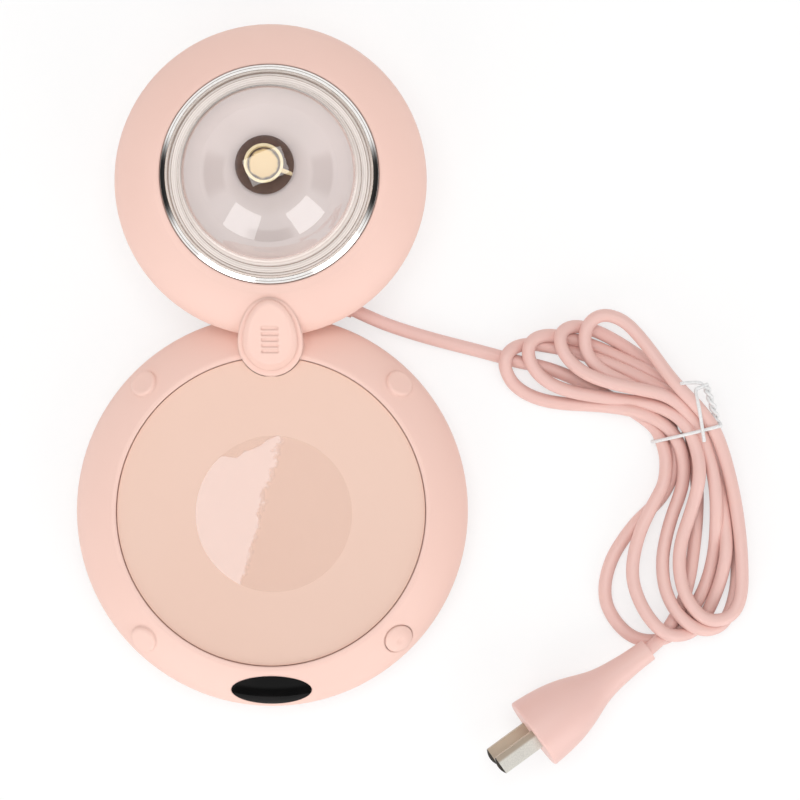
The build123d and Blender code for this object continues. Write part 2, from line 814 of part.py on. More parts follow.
def thermistor():
    """Temperature probe under the heater, with two thin leads down to the board."""
    body = disc(probe_r - 0.2, pad_top_z - probe_h, pad_top_z, (0, base_y))
    leads = [disc(probe_wire_r, board_top_z, pad_top_z - probe_h, base_place(x, 0)) for x in (-0.8, 0.8)]
    return body + leads


def heater_leads():
    return Compound(children=[disc(wire_r, board_top_z, pad_top_z, p) for p in lead_places()])


# ---- control board ------------------------------------------------------------------------------


def control_board():
    board = block(board_w, board_l, board_z, board_top_z, base_place(0, board_y))
    return board - [disc(small_screw_r + 0.2, 0, board_top_z + 1, p) for p in board_screw_places()]


def on_board(size_x, size_y, height, x, y):
    """Block on the control board."""
    form = block(size_x, size_y, board_top_z, board_top_z + height, base_place(x, y))
    return fillet(form.edges().group_by(Axis.Z)[-1], 0.4)


def rear_connector(size_x, size_y, height, x):
    """Connector whose rear face stands near the board's rear edge."""
    return on_board(size_x, size_y, height, x, board_rear_y - edge_in - size_y / 2)


def capacitors():
    pitch = 2 * capacitor_r + part_gap
    places = [base_place(can_x, board_y + pitch * n - 5) for n in (-1, 0, 1)]
    cans = [disc(capacitor_r, board_top_z, board_top_z + capacitor_h, p) for p in places]
    return Compound(children=[fillet(can.edges().group_by(Axis.Z)[-1], 0.5) for can in cans])


def controller_chip():
    """Chip body with a row of legs on two sides."""
    x, y = 0, -14
    body = on_board(chip_w, chip_w - 3, chip_h, x, y)
    legs = [block(0.5, chip_w, board_top_z, board_top_z + 0.4, base_place(x + 1.27 * n, y))
            for n in range(-3, 4)]
    return body + legs


# ---- display and push button --------------------------------------------------------------------


def display_window():
    """Window that follows the ring's surface."""
    form = extrude(Ellipse(window_w / 2 - window_gap, window_l / 2 - window_gap), 5)
    return (slope_plane(270).location * Pos(0, 0, -window_t) * form) & base_outer()


def panel_board(angle, width, depth, shift=0.0):
    """Small board behind the ring's wall, with its two screw holes."""
    place = slope_plane(angle).location * Pos(0, -shift, -depth - small_board_t)
    hole_x = width / 2 - post_inset
    holes = [Pos(x, 0, 0) * Circle(small_screw_r + 0.2) for x in (-hole_x, hole_x)]
    return place * extrude(Rectangle(width, panel_board_l) - holes, small_board_t)


def panel_screws(angle, width, depth, shift=0.0):
    """Two screws from behind a small board into the posts."""
    hole_x = width / 2 - post_inset
    one = Rot(180, 0, 0) * screw(small_screw_r, small_screw_l, small_head_r, small_head_h)
    place = slope_plane(angle).location
    seat = -depth - small_board_t
    return [place * Pos(x, -shift, seat) * one for x in (-hole_x, hole_x)]


def display_digits():
    place = slope_plane(270).location * Pos(0, 0, -display_board_depth)
    return place * extrude(Rectangle(display_w, display_l), display_t)


def push_button():
    """Domed button with a shallow dimple, a flange under the wall and a stem."""
    dome = (button_r**2 + button_crown**2) / (2 * button_crown)
    body = extrude(Circle(button_r), button_crown) & (Pos(0, 0, button_crown - dome) * Sphere(dome))
    body += Pos(0, 0, -button_stem_top) * extrude(Circle(button_r), button_stem_top)
    body += Pos(0, 0, -button_stem_top) * extrude(Circle(button_flange_r), button_flange_t)
    body += Pos(0, 0, -plunger_top) * extrude(Circle(button_stem_r), button_stem_l)
    hollow = (dimple_r**2 + dimple_depth**2) / (2 * dimple_depth)
    body -= Pos(0, 0, button_crown + hollow - dimple_depth) * Sphere(hollow)
    return slope_plane(button_angle).location * body


def switch_plunger():
    place = slope_plane(button_angle).location * Pos(0, 0, -plunger_top - plunger_l)
    return place * extrude(Circle(plunger_r), plunger_l)


def tact_switch():
    """Switch case with a bore for its plunger."""
    case = extrude(Rectangle(switch_w, switch_w), switch_h)
    low = plunger_top + plunger_l + button_travel + slide_gap
    bore = Pos(0, 0, button_board_depth - low) * extrude(Circle(plunger_r + plunger_gap), switch_h)
    return slope_plane(button_angle).location * Pos(0, 0, -button_board_depth) * (case - bore)


# ---- lamp ---------------------------------------------------------------------------------------


def lamp_board():
    board = disc(lamp_board_r, lamp_board_z, lamp_board_top_z, (0, head_y))
    return board - [disc(small_screw_r + 0.2, 0, lamp_board_top_z + 1, p) for p in lamp_posts()]


def lamp_leds():
    places = [polar(led_ring_r, 360 / led_count * n, head_y) for n in range(led_count)]
    return Compound(children=[block(5, 5, lamp_board_top_z, lamp_board_top_z + 1.6, p) for p in places])


def dome():
    """Clear dome on a stepped flange with fine raised rings."""
    z0 = flange_top_z
    inside_r, inside_h = dome_r - dome_t, dome_h - dome_t
    bulge = 0.5523
    top = z0 + dome_h
    knee = z0 + bulge * dome_h
    outside = Bezier((dome_r, 0, z0), (dome_r, 0, knee), (bulge * dome_r, 0, top), (0, 0, top))
    inside = Bezier(
        (0, 0, z0 + inside_h), (bulge * inside_r, 0, z0 + inside_h), (inside_r, 0, z0 + bulge * inside_h),
        (inside_r, 0, z0)
    )
    shell = turned(
        outside, *line((0, top), (0, z0 + inside_h)), inside,
        *line((inside_r, z0), (inside_r, flange_bottom_z), (dome_r, flange_bottom_z), (dome_r, z0)),
    )
    shell += ring(flange_r, inside_r, flange_bottom_z, flange_top_z)
    shell += ring(dome_r + dome_step_w, inside_r, flange_bottom_z, flange_top_z + dome_step_h)
    return Pos(0, lamp_y, 0) * (shell - disc(inside_r, flange_bottom_z - 1, flange_top_z + dome_step_h))


def chrome_ring():
    """Trim ring that slopes down to both sides of its crest, more gently to the outside."""
    inner_r, crest_r = chrome_r - chrome_w, chrome_r - chrome_slope_w
    top = flange_top_z + chrome_h
    outline = line(
        (inner_r, flange_top_z), (chrome_r, flange_top_z), (chrome_r, top - chrome_slope_h),
        (crest_r, top), (inner_r, top - chrome_inner_h), (inner_r, flange_top_z),
    )
    trim = turned(*outline)
    edges = trim.edges().filter_by(GeomType.CIRCLE).sort_by(Axis.Z)[-3:]
    return Pos(0, lamp_y, 0) * fillet(edges, chrome_round)


def figure_place():
    return Pos(cup_x, lamp_y + cup_y, flange_bottom_z)


def saucer():
    outline = (0, 0), (4.6, 0), (saucer_r, 1.3), (saucer_r, saucer_h), (5.0, 0.8), (0, 0.8), (0, 0)
    profile = turned(*line(*outline))
    return figure_place() * profile


def cup():
    """Cup with a handle, standing on the saucer."""
    foot_z, top_z = 0.8, 0.8 + cup_h
    wall = cup_r - cup_wall
    body = turned(*line(
        (0, foot_z), (3.6, foot_z), (5.4, foot_z + 2.2), (cup_r, top_z), (wall, top_z),
        (4.4, foot_z + 2.0), (0, foot_z + 1.4), (0, foot_z)
    ))
    handle = Pos(cup_r + 0.6, 0, foot_z + cup_h * 0.55) * Rot(90, 0, 0) * Torus(2.3, 0.6)
    bowl = extrude(Circle(cup_r + 0.2), 20)
    inside = turned(*line((0, foot_z), (5.3, foot_z), (cup_r - 0.1, top_z), (0, top_z), (0, foot_z)))
    return figure_place() * Rot(0, 0, -20) * (body + (handle - inside))


def coffee():
    low, high = 0.8 + 4.6, 0.8 + 6.4
    def inner(z):
        start, end = 0.8 + 2.0, 0.8 + cup_h
        return 4.4 + (cup_r - cup_wall - 4.4) * (z - start) / (end - start)
    drink = turned(*line((0, low), (inner(low), low), (inner(high), high), (0, high), (0, low)))
    return figure_place() * drink


# ---- wiring in the head -------------------------------------------------------------------------


def strain_relief():
    """Sleeve round the cord: a tapered tail outside, a neck in the wall and a flange inside."""
    neck = relief_hole_r - relief_gap
    tail, tip = port_out + relief_l, relief_tip_r
    back = -port_in - relief_flange_t
    outline = Polyline(
        (cord_r, back), (relief_flange_r, back), (relief_flange_r, -port_in), (neck, -port_in),
        (neck, port_out), (relief_r, port_out), (tip, tail), (cord_r, tail), (cord_r, back)
    )
    sleeve = revolve(Plane.XZ * make_face(outline.edges()), Axis.Z)
    for n in range(2):
        z = port_out + 1.3 + relief_pitch * n
        outer = relief_r + (tip - relief_r) * (z - port_out) / relief_l
        sleeve -= Pos(0, 0, z) * extrude(Circle(outer + 1) - Circle(outer - relief_groove), 0.9)
    return exit_plane().location * sleeve


def cord_clamp():
    z0 = exit_z + cord_r
    bar = inside_exit(clamp_in, z0) * extrude(RectangleRounded(clamp_l, clamp_w, 1.0), clamp_t)
    return bar - [disc(small_screw_r + 0.2, z0 - 1, z0 + clamp_t + 1, (p.X, p.Y)) for p in clamp_posts()]


def terminal_block():
    form = inside_exit(terminal_in, cover_top_z) * extrude(Rectangle(terminal_w, terminal_l), terminal_h)
    return fillet(form.edges().group_by(Axis.Z)[-1], 0.5)


def wire(points, radius):
    """Thin wire along its points, with bends as wide as its runs allow."""
    return tube(points, [min(2.5, r) for r in arc_radii(points)], radius)


def mains_sheath():
    """Cord's end inside the housing: its sheath, and two wires into the terminal block."""
    inner = -port_in - sheath_l
    wires = exit_plane().location * Pos(0, 0, terminal_w / 2 - terminal_in)
    pair = [wires * Pos(side * wire_pitch / 2, 0, 0) * extrude(
        Circle(wire_r), terminal_in - terminal_w / 2 + inner + 1) for side in (-1, 1)]
    return along_exit(cord_r, inner, port_out + relief_l - inner) + pair


def passage_wires(radius, starts, x_pass, x_base):
    """A pair of wires from their start points, through the neck, to a connector on the board."""
    far_y = base_y + board_rear_y - edge_in
    wires = []
    for side, start in zip((-1, 1), starts):
        shift = side * wire_pitch / 2
        points = start + [
            (x_pass + shift, passage_end_y + 1.7, wire_z),
            (x_pass + shift, base_y + neck_front_y, wire_z),
            (x_base + shift, far_y + 12, board_top_z + 3),
            (x_base + shift, far_y, board_top_z + 3),
        ]
        wires.append(wire(points, radius))
    return Compound(children=wires)


def wire_starts(x, y, z, step):
    """Upright starts of a pair of wires, from height z."""
    sides = (-1, 1)
    feet = [(x + side * wire_pitch / 2, y + side * step) for side in sides]
    return [[(*foot, z), (*foot, wire_z + 0.1)] for foot in feet]


def mains_leads():
    """Wires from the terminal block up and over to the control board."""
    place = inside_exit(terminal_in, 0).position
    starts = wire_starts(place.X, place.Y, cover_top_z + terminal_h, wire_pitch / 2)
    return passage_wires(wire_r, starts, -2.4, block_x)


def lamp_leads():
    """Wires from under the lamp board to the control board."""
    starts = wire_starts(6, head_y - lamp_board_r + 4, lamp_board_z, 0)
    return passage_wires(thin_wire_r, starts, 2.6, plug_in_x)


def rubber_feet():
    base, head = foot_places()
    feet = [disc(foot_r, 0, foot_t, p) for p in base + head]
    return Compound(children=[chamfer(foot.edges().group_by(Axis.Z)[0], 0.4) for foot in feet])


# ---- cord, hank, tie and plug -------------------------------------------------------------------


def beside(points):
    """Points given from the base's right rim: (x, y, z), or (x, y, radius)."""
    return [(base_r + x, y, z) for x, y, z in points]


def hull(*circles):
    """Outline stretched round circles given as (x, y, radius)."""
    return make_hull([edge for x, y, r in circles for edge in (Pos(x, y) * Circle(r)).edges()])


def tie_plane(z=0.0):
    """Plane at the hank's neck: local X runs across the strands, along the tie."""
    return Pos(base_r + hank_tie[0], hank_tie[1], z) * Rot(0, 0, tie_turn)


def cord_hank():
    """The cord's coils as one closed form, pinched where the tie runs round them."""
    form = extrude(hull(*beside([*hank_top, hank_tie])), hank_h)
    form += extrude(hull(*beside([hank_tie, *hank_bottom])), hank_h)
    form = fillet(form.edges().group_by(Axis.Z)[-1], hank_edge)
    low = neck_h - tie_neck_t
    neck = tie_plane(low) * extrude(RectangleRounded(neck_w, neck_l, 4), tie_neck_t)
    form += fillet(neck.edges().group_by(Axis.Z)[-1], hank_edge)
    depth = tie_groove
    middle = tie_plane(low + tie_neck_t / 2) * Rot(90, 0, 0)
    outer = Rectangle(3 * neck_w, 3 * neck_h)
    inner = RectangleRounded(neck_w - 2 * depth, tie_neck_t - 2 * depth, groove_corner)
    return form - middle * extrude(outer - inner, tie_groove_w / 2, both=True)


def twist_tie():
    """Wire round the hank's neck, with its twisted ends laid back over the coils."""
    low = neck_h - tie_neck_t
    reach = tie_wire_r + tie_gap  # wire's middle above the groove's floor
    inset = tie_groove - reach
    path = RectangleRounded(neck_w - 2 * inset, tie_neck_t - 2 * inset, groove_corner + reach).wire()
    path = tie_plane(low + tie_neck_t / 2) * Rot(90, 0, 0) * path
    start = Plane(path @ 0, z_dir=path % 0)
    loop = sweep(start * Circle(tie_wire_r), path)
    ends = beside(tie_ends)
    return loop + tube(ends, arc_radii(ends), tie_wire_r)


def plug_place():
    """Plug's place: local Z runs from its front face to its tail, local Y points up."""
    axis = (plug_tail - plug_front).normalized()
    across = Vector(0, 0, 1).cross(axis).normalized()
    return Plane(plug_front, across * -1, axis).location * Rot(0, 0, 180)


def blade(side):
    """One blade, from its bevelled, slightly rounded tip to its root in the plug."""
    low, high = -blade_l, blade_root
    shoulder = low + blade_bevel_l
    face = make_face([
        Line((-blade_w / 2, shoulder), (-blade_w / 2, high)),
        Line((-blade_w / 2, high), (blade_w / 2, high)),
        Line((blade_w / 2, high), (blade_w / 2, shoulder)),
        ThreePointArc((blade_w / 2, shoulder), (0, low), (-blade_w / 2, shoulder)),
    ])
    side_view = Polyline(
        (-blade_t / 2, shoulder), (-blade_t / 2, high), (blade_t / 2, high), (blade_t / 2, shoulder),
        (blade_tip_t / 2, low), (-blade_tip_t / 2, low), close=True
    )
    form = extrude(Plane.XZ * face, blade_t / 2, both=True)
    form &= extrude(Plane.YZ * make_face(side_view.edges()), blade_w, both=True)
    return Rot(0, 0, blade_turn) * Pos(0, side * blade_gap / 2, 0) * form


def plug_blades():
    return Compound(children=[plug_place() * blade(side) for side in (-1, 1)])


def plug_body():
    """Round tapering body, with pockets for the blades' roots."""
    tail_l = (plug_tail - plug_front).length
    edge = Spline(*[(r, 0, z) for r, z in plug_outline], (plug_tail_r, 0, tail_l))
    front = plug_outline[0][0]
    body = turned(edge, *line((plug_tail_r, tail_l), (0, tail_l), (0, 0), (front, 0)))
    body = fillet(body.edges().sort_by(Axis.Z)[0], 0.9)
    return plug_place() * (body - [blade(side) for side in (-1, 1)])


def lead_points():
    """Cord from the strain relief to the hank."""
    tip = port_out + relief_l
    start, bend = [exit_plane().from_local_coords(Vector(0, 0, z)) for z in (tip, tip + lead_run)]
    return [tuple(start), tuple(bend), *beside(lead_route)]


def tail_points():
    """Cord from the plug's tail into the hank."""
    axis = (plug_tail - plug_front).normalized()
    return [tuple(plug_tail), tuple(plug_tail + axis * tail_run), *beside(tail_route)]


def cord_part(points):
    """Part of the cord, with its bend radii printed for whoever draws it again."""
    radii = arc_radii(points)
    print("cord radii", [round(r, 2) for r in radii])
    return tube(points, radii, cord_r)


# ---- nodes --------------------------------------------------------------------------------------

save("upper_shell", upper_shell())
save("base_bottom_cover", base_bottom_cover())
save("head_bottom_cover", head_bottom_cover())
save("rubber_feet", rubber_feet())
save("cover_screws", driven_up(boss_places(), screw_seat_z, screw_r, screw_l, screw_head_r, screw_head_h))

save("heating_plate", heating_plate())
save("plate_seal", plate_seal())
save("heater_element", heater_layer(heater_r, pad_top_z, heater_top_z, stud_r + 0.3, 0.6))
save("insulation_pad", heater_layer(heater_r, shield_top_z, pad_top_z, stud_r + 0.3, probe_r + 0.2))
save("heat_shield", heat_shield())
save("shield_screws", driven_up(
    stud_places(), shield_bottom_z, small_screw_r, small_screw_l, small_head_r, small_head_h
))
save("thermistor", thermistor())
save("thermal_fuse", thermal_fuse())
save("heater_leads", heater_leads())

save("control_board", control_board())
save("board_screws", small_screws(board_screw_places(), board_top_z))
save("mains_connector", rear_connector(block_w, block_l, block_h, block_x))
save("lamp_connector", rear_connector(plug_in_w, plug_in_l, plug_in_h, plug_in_x))
save("capacitors", capacitors())
save("power_choke", on_board(choke_w, choke_l, choke_h, -can_x, board_y + part_gap / 2))
save("heater_relay", on_board(relay_w, relay_l, relay_h, relay_x, board_y - (choke_l + relay_l) / 2))
save("controller_chip", controller_chip())

save("display_window", display_window())
save("display_digits", display_digits())
save("display_board", panel_board(270, display_board_w, display_board_depth, display_board_shift))
save("push_button", push_button())
save("switch_plunger", switch_plunger())
save("tact_switch", tact_switch())
save("button_board", panel_board(button_angle, button_board_w, button_board_depth))
save("panel_screws", Compound(children=(
    panel_screws(270, display_board_w, display_board_depth, display_board_shift)
    + panel_screws(button_angle, button_board_w, button_board_depth)
)))

save("lamp_board", lamp_board())
save("lamp_board_screws", small_screws(lamp_posts(), lamp_board_top_z))
save("lamp_leds", lamp_leds())
save("light_diffuser", disc(diffuser_r, diffuser_bottom_z, flange_bottom_z, (0, lamp_y)))
save("dome", dome())
save("chrome_ring", chrome_ring())
save("saucer", saucer())
save("cup", cup())
save("coffee", coffee())

save("strain_relief", strain_relief())
save("cord_clamp", cord_clamp())
save("clamp_screws", small_screws([(p.X, p.Y) for p in clamp_posts()], exit_z + cord_r + clamp_t))
save("terminal_block", terminal_block())
save("mains_sheath", mains_sheath())
save("mains_leads", mains_leads())
save("lamp_leads", lamp_leads())

save("cord_lead", cord_part(lead_points()))
save("cord_hank", cord_hank())
save("cord_tail", cord_part(tail_points()))
save("twist_tie", twist_tie())
save("plug_body", plug_body())
save("plug_blades", plug_blades())
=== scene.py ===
"""Finish of a round mug warmer with a lamp head, its mains cord tied in a hank, and its plug.

Metres, in the model's own frame. Lengths that read better in millimetres are multiplied by MM.
"""

import math

import bpy
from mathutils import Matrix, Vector
from mathutils.bvhtree import BVHTree


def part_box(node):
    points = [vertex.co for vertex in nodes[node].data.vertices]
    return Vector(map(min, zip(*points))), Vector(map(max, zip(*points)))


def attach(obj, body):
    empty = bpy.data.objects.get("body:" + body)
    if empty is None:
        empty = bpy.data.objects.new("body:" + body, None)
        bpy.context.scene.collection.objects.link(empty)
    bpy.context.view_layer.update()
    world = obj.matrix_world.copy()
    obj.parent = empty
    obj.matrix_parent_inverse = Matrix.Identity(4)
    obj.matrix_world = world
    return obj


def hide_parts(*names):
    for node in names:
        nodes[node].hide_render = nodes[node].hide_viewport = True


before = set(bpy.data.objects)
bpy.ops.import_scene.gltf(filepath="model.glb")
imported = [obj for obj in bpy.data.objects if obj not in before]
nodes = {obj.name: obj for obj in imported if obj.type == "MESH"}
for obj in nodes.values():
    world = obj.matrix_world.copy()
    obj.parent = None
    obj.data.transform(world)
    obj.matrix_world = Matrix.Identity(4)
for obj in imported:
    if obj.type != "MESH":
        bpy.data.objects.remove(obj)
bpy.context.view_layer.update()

MM = 0.001
BODY = "warmer"

# ---- colours, linear ----------------------------------------------------------------------------

SHELL_PINK = (0.880, 0.607, 0.530)
SHELL_DEEP = (0.820, 0.530, 0.455)
PLATE_CHAMPAGNE = (0.748, 0.526, 0.428)
CORD_PINK = (0.800, 0.525, 0.478)
CREAM = (0.880, 0.740, 0.420)
COCOA = (0.120, 0.060, 0.048)
COFFEE = (0.055, 0.022, 0.014)
FOAM = (0.840, 0.640, 0.330)
TIE_WHITE = (0.840, 0.840, 0.840)
BLACK, WHITE = (0, 0, 0), (1, 1, 1)


def mixed(first, second, share):
    """The first colour at a share of 0, and the second at 1."""
    return tuple(a + (b - a) * share for a, b in zip(first, second))


SHELL_SHADE = mixed(SHELL_PINK, SHELL_DEEP, 0.25)


# ---- camera -------------------------------------------------------------------------------------

VIEW_HEIGHT = 1.0
VIEW_X, VIEW_Y = 0.0424, -0.01075
PICTURE = 800
FOCAL = 2980.5  # pixels
SENSOR = 36.0


def make_camera():
    """A camera that looks straight down."""
    data = bpy.data.cameras.new("camera")
    data.sensor_width = SENSOR
    data.lens = FOCAL * SENSOR / PICTURE
    camera = bpy.data.objects.new("camera", data)
    bpy.context.collection.objects.link(camera)
    camera.location = (VIEW_X, VIEW_Y, VIEW_HEIGHT)
    bpy.context.scene.camera = camera


make_camera()


# ---- mains cord ---------------------------------------------------------------------------------

CORD_D = 4.4 * MM
CORD_EXIT = (27.17, 19.12, 7.4)
LOW, MID = 2.25, 6.65  # a strand's middle on the table and on one strand

LEAD = [
    CORD_EXIT, (32.6, 16.6, 7.3), (38.7, 14.1, 5.6), (48.4, 11.0, 3.2), (58.3, 8.3, LOW),
    (68.0, 5.9, LOW), (76.9, 3.5, LOW), (81.6, 2.1, LOW), (86.9, 1.1, LOW), (92.9, -0.4, LOW),
    (100.0, -3.2, LOW), (106.7, -6.6, LOW), (113.7, -10.4, LOW), (120.4, -14.4, LOW),
    (125.4, -17.8, LOW), (128.4, -20.8, LOW), (129.9, -24.5, LOW),
]
LOOP_Q = [
    (131.1, -29.2, 3.2), (131.2, -33.9, 4.5), (130.4, -38.8, 6.2), (128.4, -42.7, MID),
    (125.7, -47.4, MID), (122.4, -54.5, 4.5), (120.4, -61.8, LOW), (119.7, -68.3, LOW),
    (120.6, -74.0, LOW), (123.3, -80.4, 3.5), (127.0, -85.6, 7.0), (130.7, -88.5, 9.0),
    (134.8, -89.3, 7.5), (139.5, -88.5, 5.0), (143.3, -85.3, 3.2), (146.6, -79.0, LOW),
    (149.6, -70.7, LOW), (151.1, -62.6, LOW), (151.2, -54.3, LOW), (150.0, -44.1, LOW),
    (147.5, -33.5, LOW), (144.1, -24.1, LOW),
]
LOOP_A = [
    (140.5, -15.8, LOW), (135.1, -10.4, LOW), (129.4, -6.9, LOW), (123.9, -4.1, LOW),
    (118.0, -1.0, LOW), (108.0, 3.1, LOW), (98.6, 6.0, LOW), (91.3, 7.3, LOW), (86.6, 8.0, 2.8),
    (82.4, 7.6, 4.3), (79.2, 5.9, 6.0), (77.6, 3.6, MID), (77.3, 0.6, MID), (78.3, -2.2, MID),
    (80.0, -5.1, 5.5), (82.9, -7.6, 4.0), (86.6, -9.6, LOW), (91.3, -11.1, LOW), (98.0, -12.1, 3.0),
    (106.0, -12.4, 5.0), (113.8, -13.1, MID), (121.4, -14.5, MID), (127.7, -16.9, MID),
    (132.2, -20.1, MID), (134.9, -24.1, MID),
]
LOOP_R = [
    (136.4, -28.1, MID), (137.2, -32.8, 5.5), (137.0, -37.9, 4.0), (135.6, -43.2, LOW),
    (133.3, -49.1, LOW), (131.1, -56.8, LOW), (129.8, -64.5, LOW), (130.4, -73.0, LOW),
    (133.3, -80.0, 4.0), (137.4, -84.7, MID), (142.0, -87.2, 8.0), (146.7, -87.4, 7.5),
    (150.9, -85.1, 5.0), (153.8, -79.1, 3.0), (155.4, -70.4, LOW), (155.0, -59.3, LOW),
    (153.0, -45.9, LOW), (150.5, -34.2, LOW), (147.4, -24.1, LOW),
]
LOOP_B = [
    (144.1, -15.4, LOW), (139.5, -10.4, LOW), (133.8, -6.4, LOW), (126.8, -2.0, LOW),
    (118.7, 2.1, LOW), (110.0, 6.3, LOW), (101.6, 9.3, LOW), (94.9, 10.8, 3.5), (90.2, 10.9, 5.5),
    (86.7, 9.4, MID), (85.1, 6.6, MID), (85.3, 3.2, MID), (86.9, -0.1, MID), (89.4, -3.1, MID),
    (93.4, -5.9, MID), (99.7, -8.2, MID), (108.3, -9.6, MID), (117.7, -10.9, MID),
    (125.7, -12.0, MID), (132.0, -14.4, 7.5), (136.6, -17.9, 8.0), (139.1, -22.1, MID),
]
LOOP_T = [
    (140.7, -26.4, MID), (141.7, -31.1, 6.5), (141.8, -36.1, 6.0), (140.9, -41.8, 5.0),
    (138.8, -49.1, 4.0), (136.2, -56.8, 3.0), (135.1, -64.5, 3.0), (136.2, -73.0, 4.0),
    (139.0, -78.9, MID), (142.8, -83.0, 8.0), (147.0, -84.3, 8.0), (151.6, -83.3, 7.5),
    (155.0, -79.7, MID), (156.4, -73.7, MID), (156.4, -66.1, MID), (155.8, -56.6, MID),
    (154.5, -46.7, MID), (152.5, -37.4, MID), (150.2, -29.1, MID), (147.3, -21.4, MID),
]
LOOP_D = [
    (143.7, -16.1, 8.0), (139.7, -11.6, 9.0), (135.5, -7.4, 9.0), (131.2, -2.3, 8.0),
    (126.7, 4.2, MID), (122.1, 10.3, 5.0), (117.3, 15.4, 5.0), (111.7, 17.7, 5.5),
    (107.4, 16.9, MID), (104.6, 13.9, MID), (103.7, 9.6, MID), (104.4, 5.2, MID),
    (106.6, 1.6, 6.0), (109.8, -1.2, 5.0), (114.2, -3.5, 4.0), (120.0, -6.0, LOW),
    (126.1, -9.4, LOW), (130.8, -13.8, LOW), (133.1, -19.1, LOW), (134.1, -25.5, LOW),
]
LOOP_P = [
    (134.5, -31.2, LOW), (133.3, -37.2, LOW), (130.1, -43.2, LOW), (125.8, -47.6, LOW),
    (121.7, -51.4, LOW), (117.5, -56.8, LOW), (113.4, -63.3, LOW), (111.0, -71.0, LOW),
    (111.0, -77.9, LOW), (113.5, -83.5, LOW), (117.4, -88.1, LOW), (121.4, -90.6, LOW),
    (125.4, -91.4, LOW), (129.4, -91.1, LOW), (133.8, -89.3, LOW), (137.5, -86.1, LOW),
    (140.8, -80.4, LOW), (144.0, -74.4, LOW), (146.3, -67.7, LOW), (147.7, -60.0, LOW),
    (147.8, -50.9, LOW), (147.5, -41.5, 3.5), (146.2, -33.0, 5.5), (144.1, -26.1, MID),
]
LOOP_C = [
    (142.4, -20.8, MID), (138.4, -15.2, 8.0), (134.1, -11.1, 9.0), (129.2, -8.7, 8.5),
    (124.0, -7.6, 7.5), (118.0, -6.4, 7.0), (111.1, -4.8, MID), (105.1, -2.6, MID),
    (100.6, 0.4, MID), (97.2, 4.2, MID), (95.5, 8.4, MID), (96.2, 12.1, MID),
    (99.8, 14.0, 4.5), (105.0, 13.4, 3.0), (110.7, 11.2, LOW), (116.7, 7.8, LOW),
    (123.0, 3.6, LOW), (129.0, -1.0, LOW), (134.5, -7.1, LOW), (138.2, -14.4, LOW),
    (139.8, -22.8, LOW),
]
TAIL = [
    (141.2, -31.5, LOW), (142.0, -40.9, LOW), (141.8, -50.9, LOW), (140.8, -60.6, LOW),
    (139.4, -70.3, LOW), (136.9, -78.7, 2.6), (133.7, -84.4, 3.6), (130.5, -89.0, 5.6),
    (127.4, -92.1, 7.6), (125.0, -93.9, 8.2),
]
ROUTE = LEAD + LOOP_Q + LOOP_A + LOOP_R + LOOP_B + LOOP_T + LOOP_D + LOOP_P + LOOP_C + TAIL

SETTLE_ROUNDS = 260
LIFT_SHARE = 0.8  # of the lift that crossing strands ask for, taken in each round
BEND_SHARE = 0.12  # of the way to the line between a point's neighbours
SINK = 0.02  # millimetres that a free point sinks in each round
LEAST_WEIGHT = 1e-6
CORD_ROUND, CORD_ALONG = 5, 5  # how finely it is divided round and along
STEPS_A_RUN = 3  # places looked at on each run of the route
NEAR_RUNS = 4  # runs this close along the cord never lie on each other


def spline_places(points):
    """Places along the route's smooth line, each as three points' numbers and their shares."""
    places = []
    for i in range(1, len(points) - 1):
        for step in range(STEPS_A_RUN):
            t = step / STEPS_A_RUN
            shares = (0.5 * (1 - t) ** 2, 0.5 + t * (1 - t), 0.5 * t * t)
            places.append((i, shares))
    return places


def place_of(points, place):
    i, shares = place
    return sum((points[i + k - 1] * shares[k] for k in range(3)), Vector())


def settle(route):
    """The route with its strands resting on each other, where they cross, and on the table."""
    points = [Vector(p) for p in route]
    radius = CORD_D / MM / 2
    across = 2 * radius
    places = spline_places(points)
    spots = [place_of(points, p) for p in places]
    pairs = []
    for a, spot in enumerate(spots):
        for b in range(a + NEAR_RUNS * STEPS_A_RUN, len(spots)):
            apart = (spot.xy - spots[b].xy).length
            if apart < across:
                over = 1 if spot.z >= spots[b].z else -1
                pairs.append((a, b, over, math.sqrt(across**2 - apart**2)))
    movable = range(2, len(points) - 2)
    for _ in range(SETTLE_ROUNDS):
        push = [0.0] * len(points)
        weight = [LEAST_WEIGHT] * len(points)
        heights = [place_of(points, p).z for p in places]
        for a, b, over, need in pairs:
            lack = need - over * (heights[a] - heights[b])
            if lack > 0:
                for spot, way in ((a, over), (b, -over)):
                    i, shares = places[spot]
                    for k in range(3):
                        push[i + k - 1] += way * lack * 0.5 * shares[k]
                        weight[i + k - 1] += shares[k]
        bends = [0.5 * (points[i - 1].z + points[i + 1].z) - points[i].z for i in movable]
        for i, bend in zip(movable, bends):
            z = points[i].z + LIFT_SHARE * push[i] / weight[i] + BEND_SHARE * bend - SINK
            points[i].z = max(z, radius)
    return points


def new_tube(name, round_steps, run_steps):
    """A curve object whose runs are tubes, as thick as their points' radii."""
    curve = bpy.data.curves.new(name, "CURVE")
    curve.dimensions = "3D"
    curve.bevel_depth = 1.0
    curve.bevel_resolution = round_steps
    curve.use_fill_caps = True
    curve.resolution_u = run_steps
    tube = bpy.data.objects.new(name, curve)
    bpy.context.collection.objects.link(tube)
    return tube


def add_run(tube, points, radius):
    """A smooth run along places that are given in millimetres."""
    run = tube.data.splines.new("NURBS")
    run.points.add(len(points) - 1)
    for target, point in zip(run.points, points):
        target.co = (*(Vector(point) * MM), 1.0)
        target.radius = radius
    run.order_u = 3
    run.use_endpoint_u = True


def make_cord():
    """The whole cord, from the strain relief through the hank to the plug."""
    tube = new_tube("mains_cord", CORD_ROUND, CORD_ALONG)
    add_run(tube, settle(ROUTE), CORD_D / 2)
    return tube


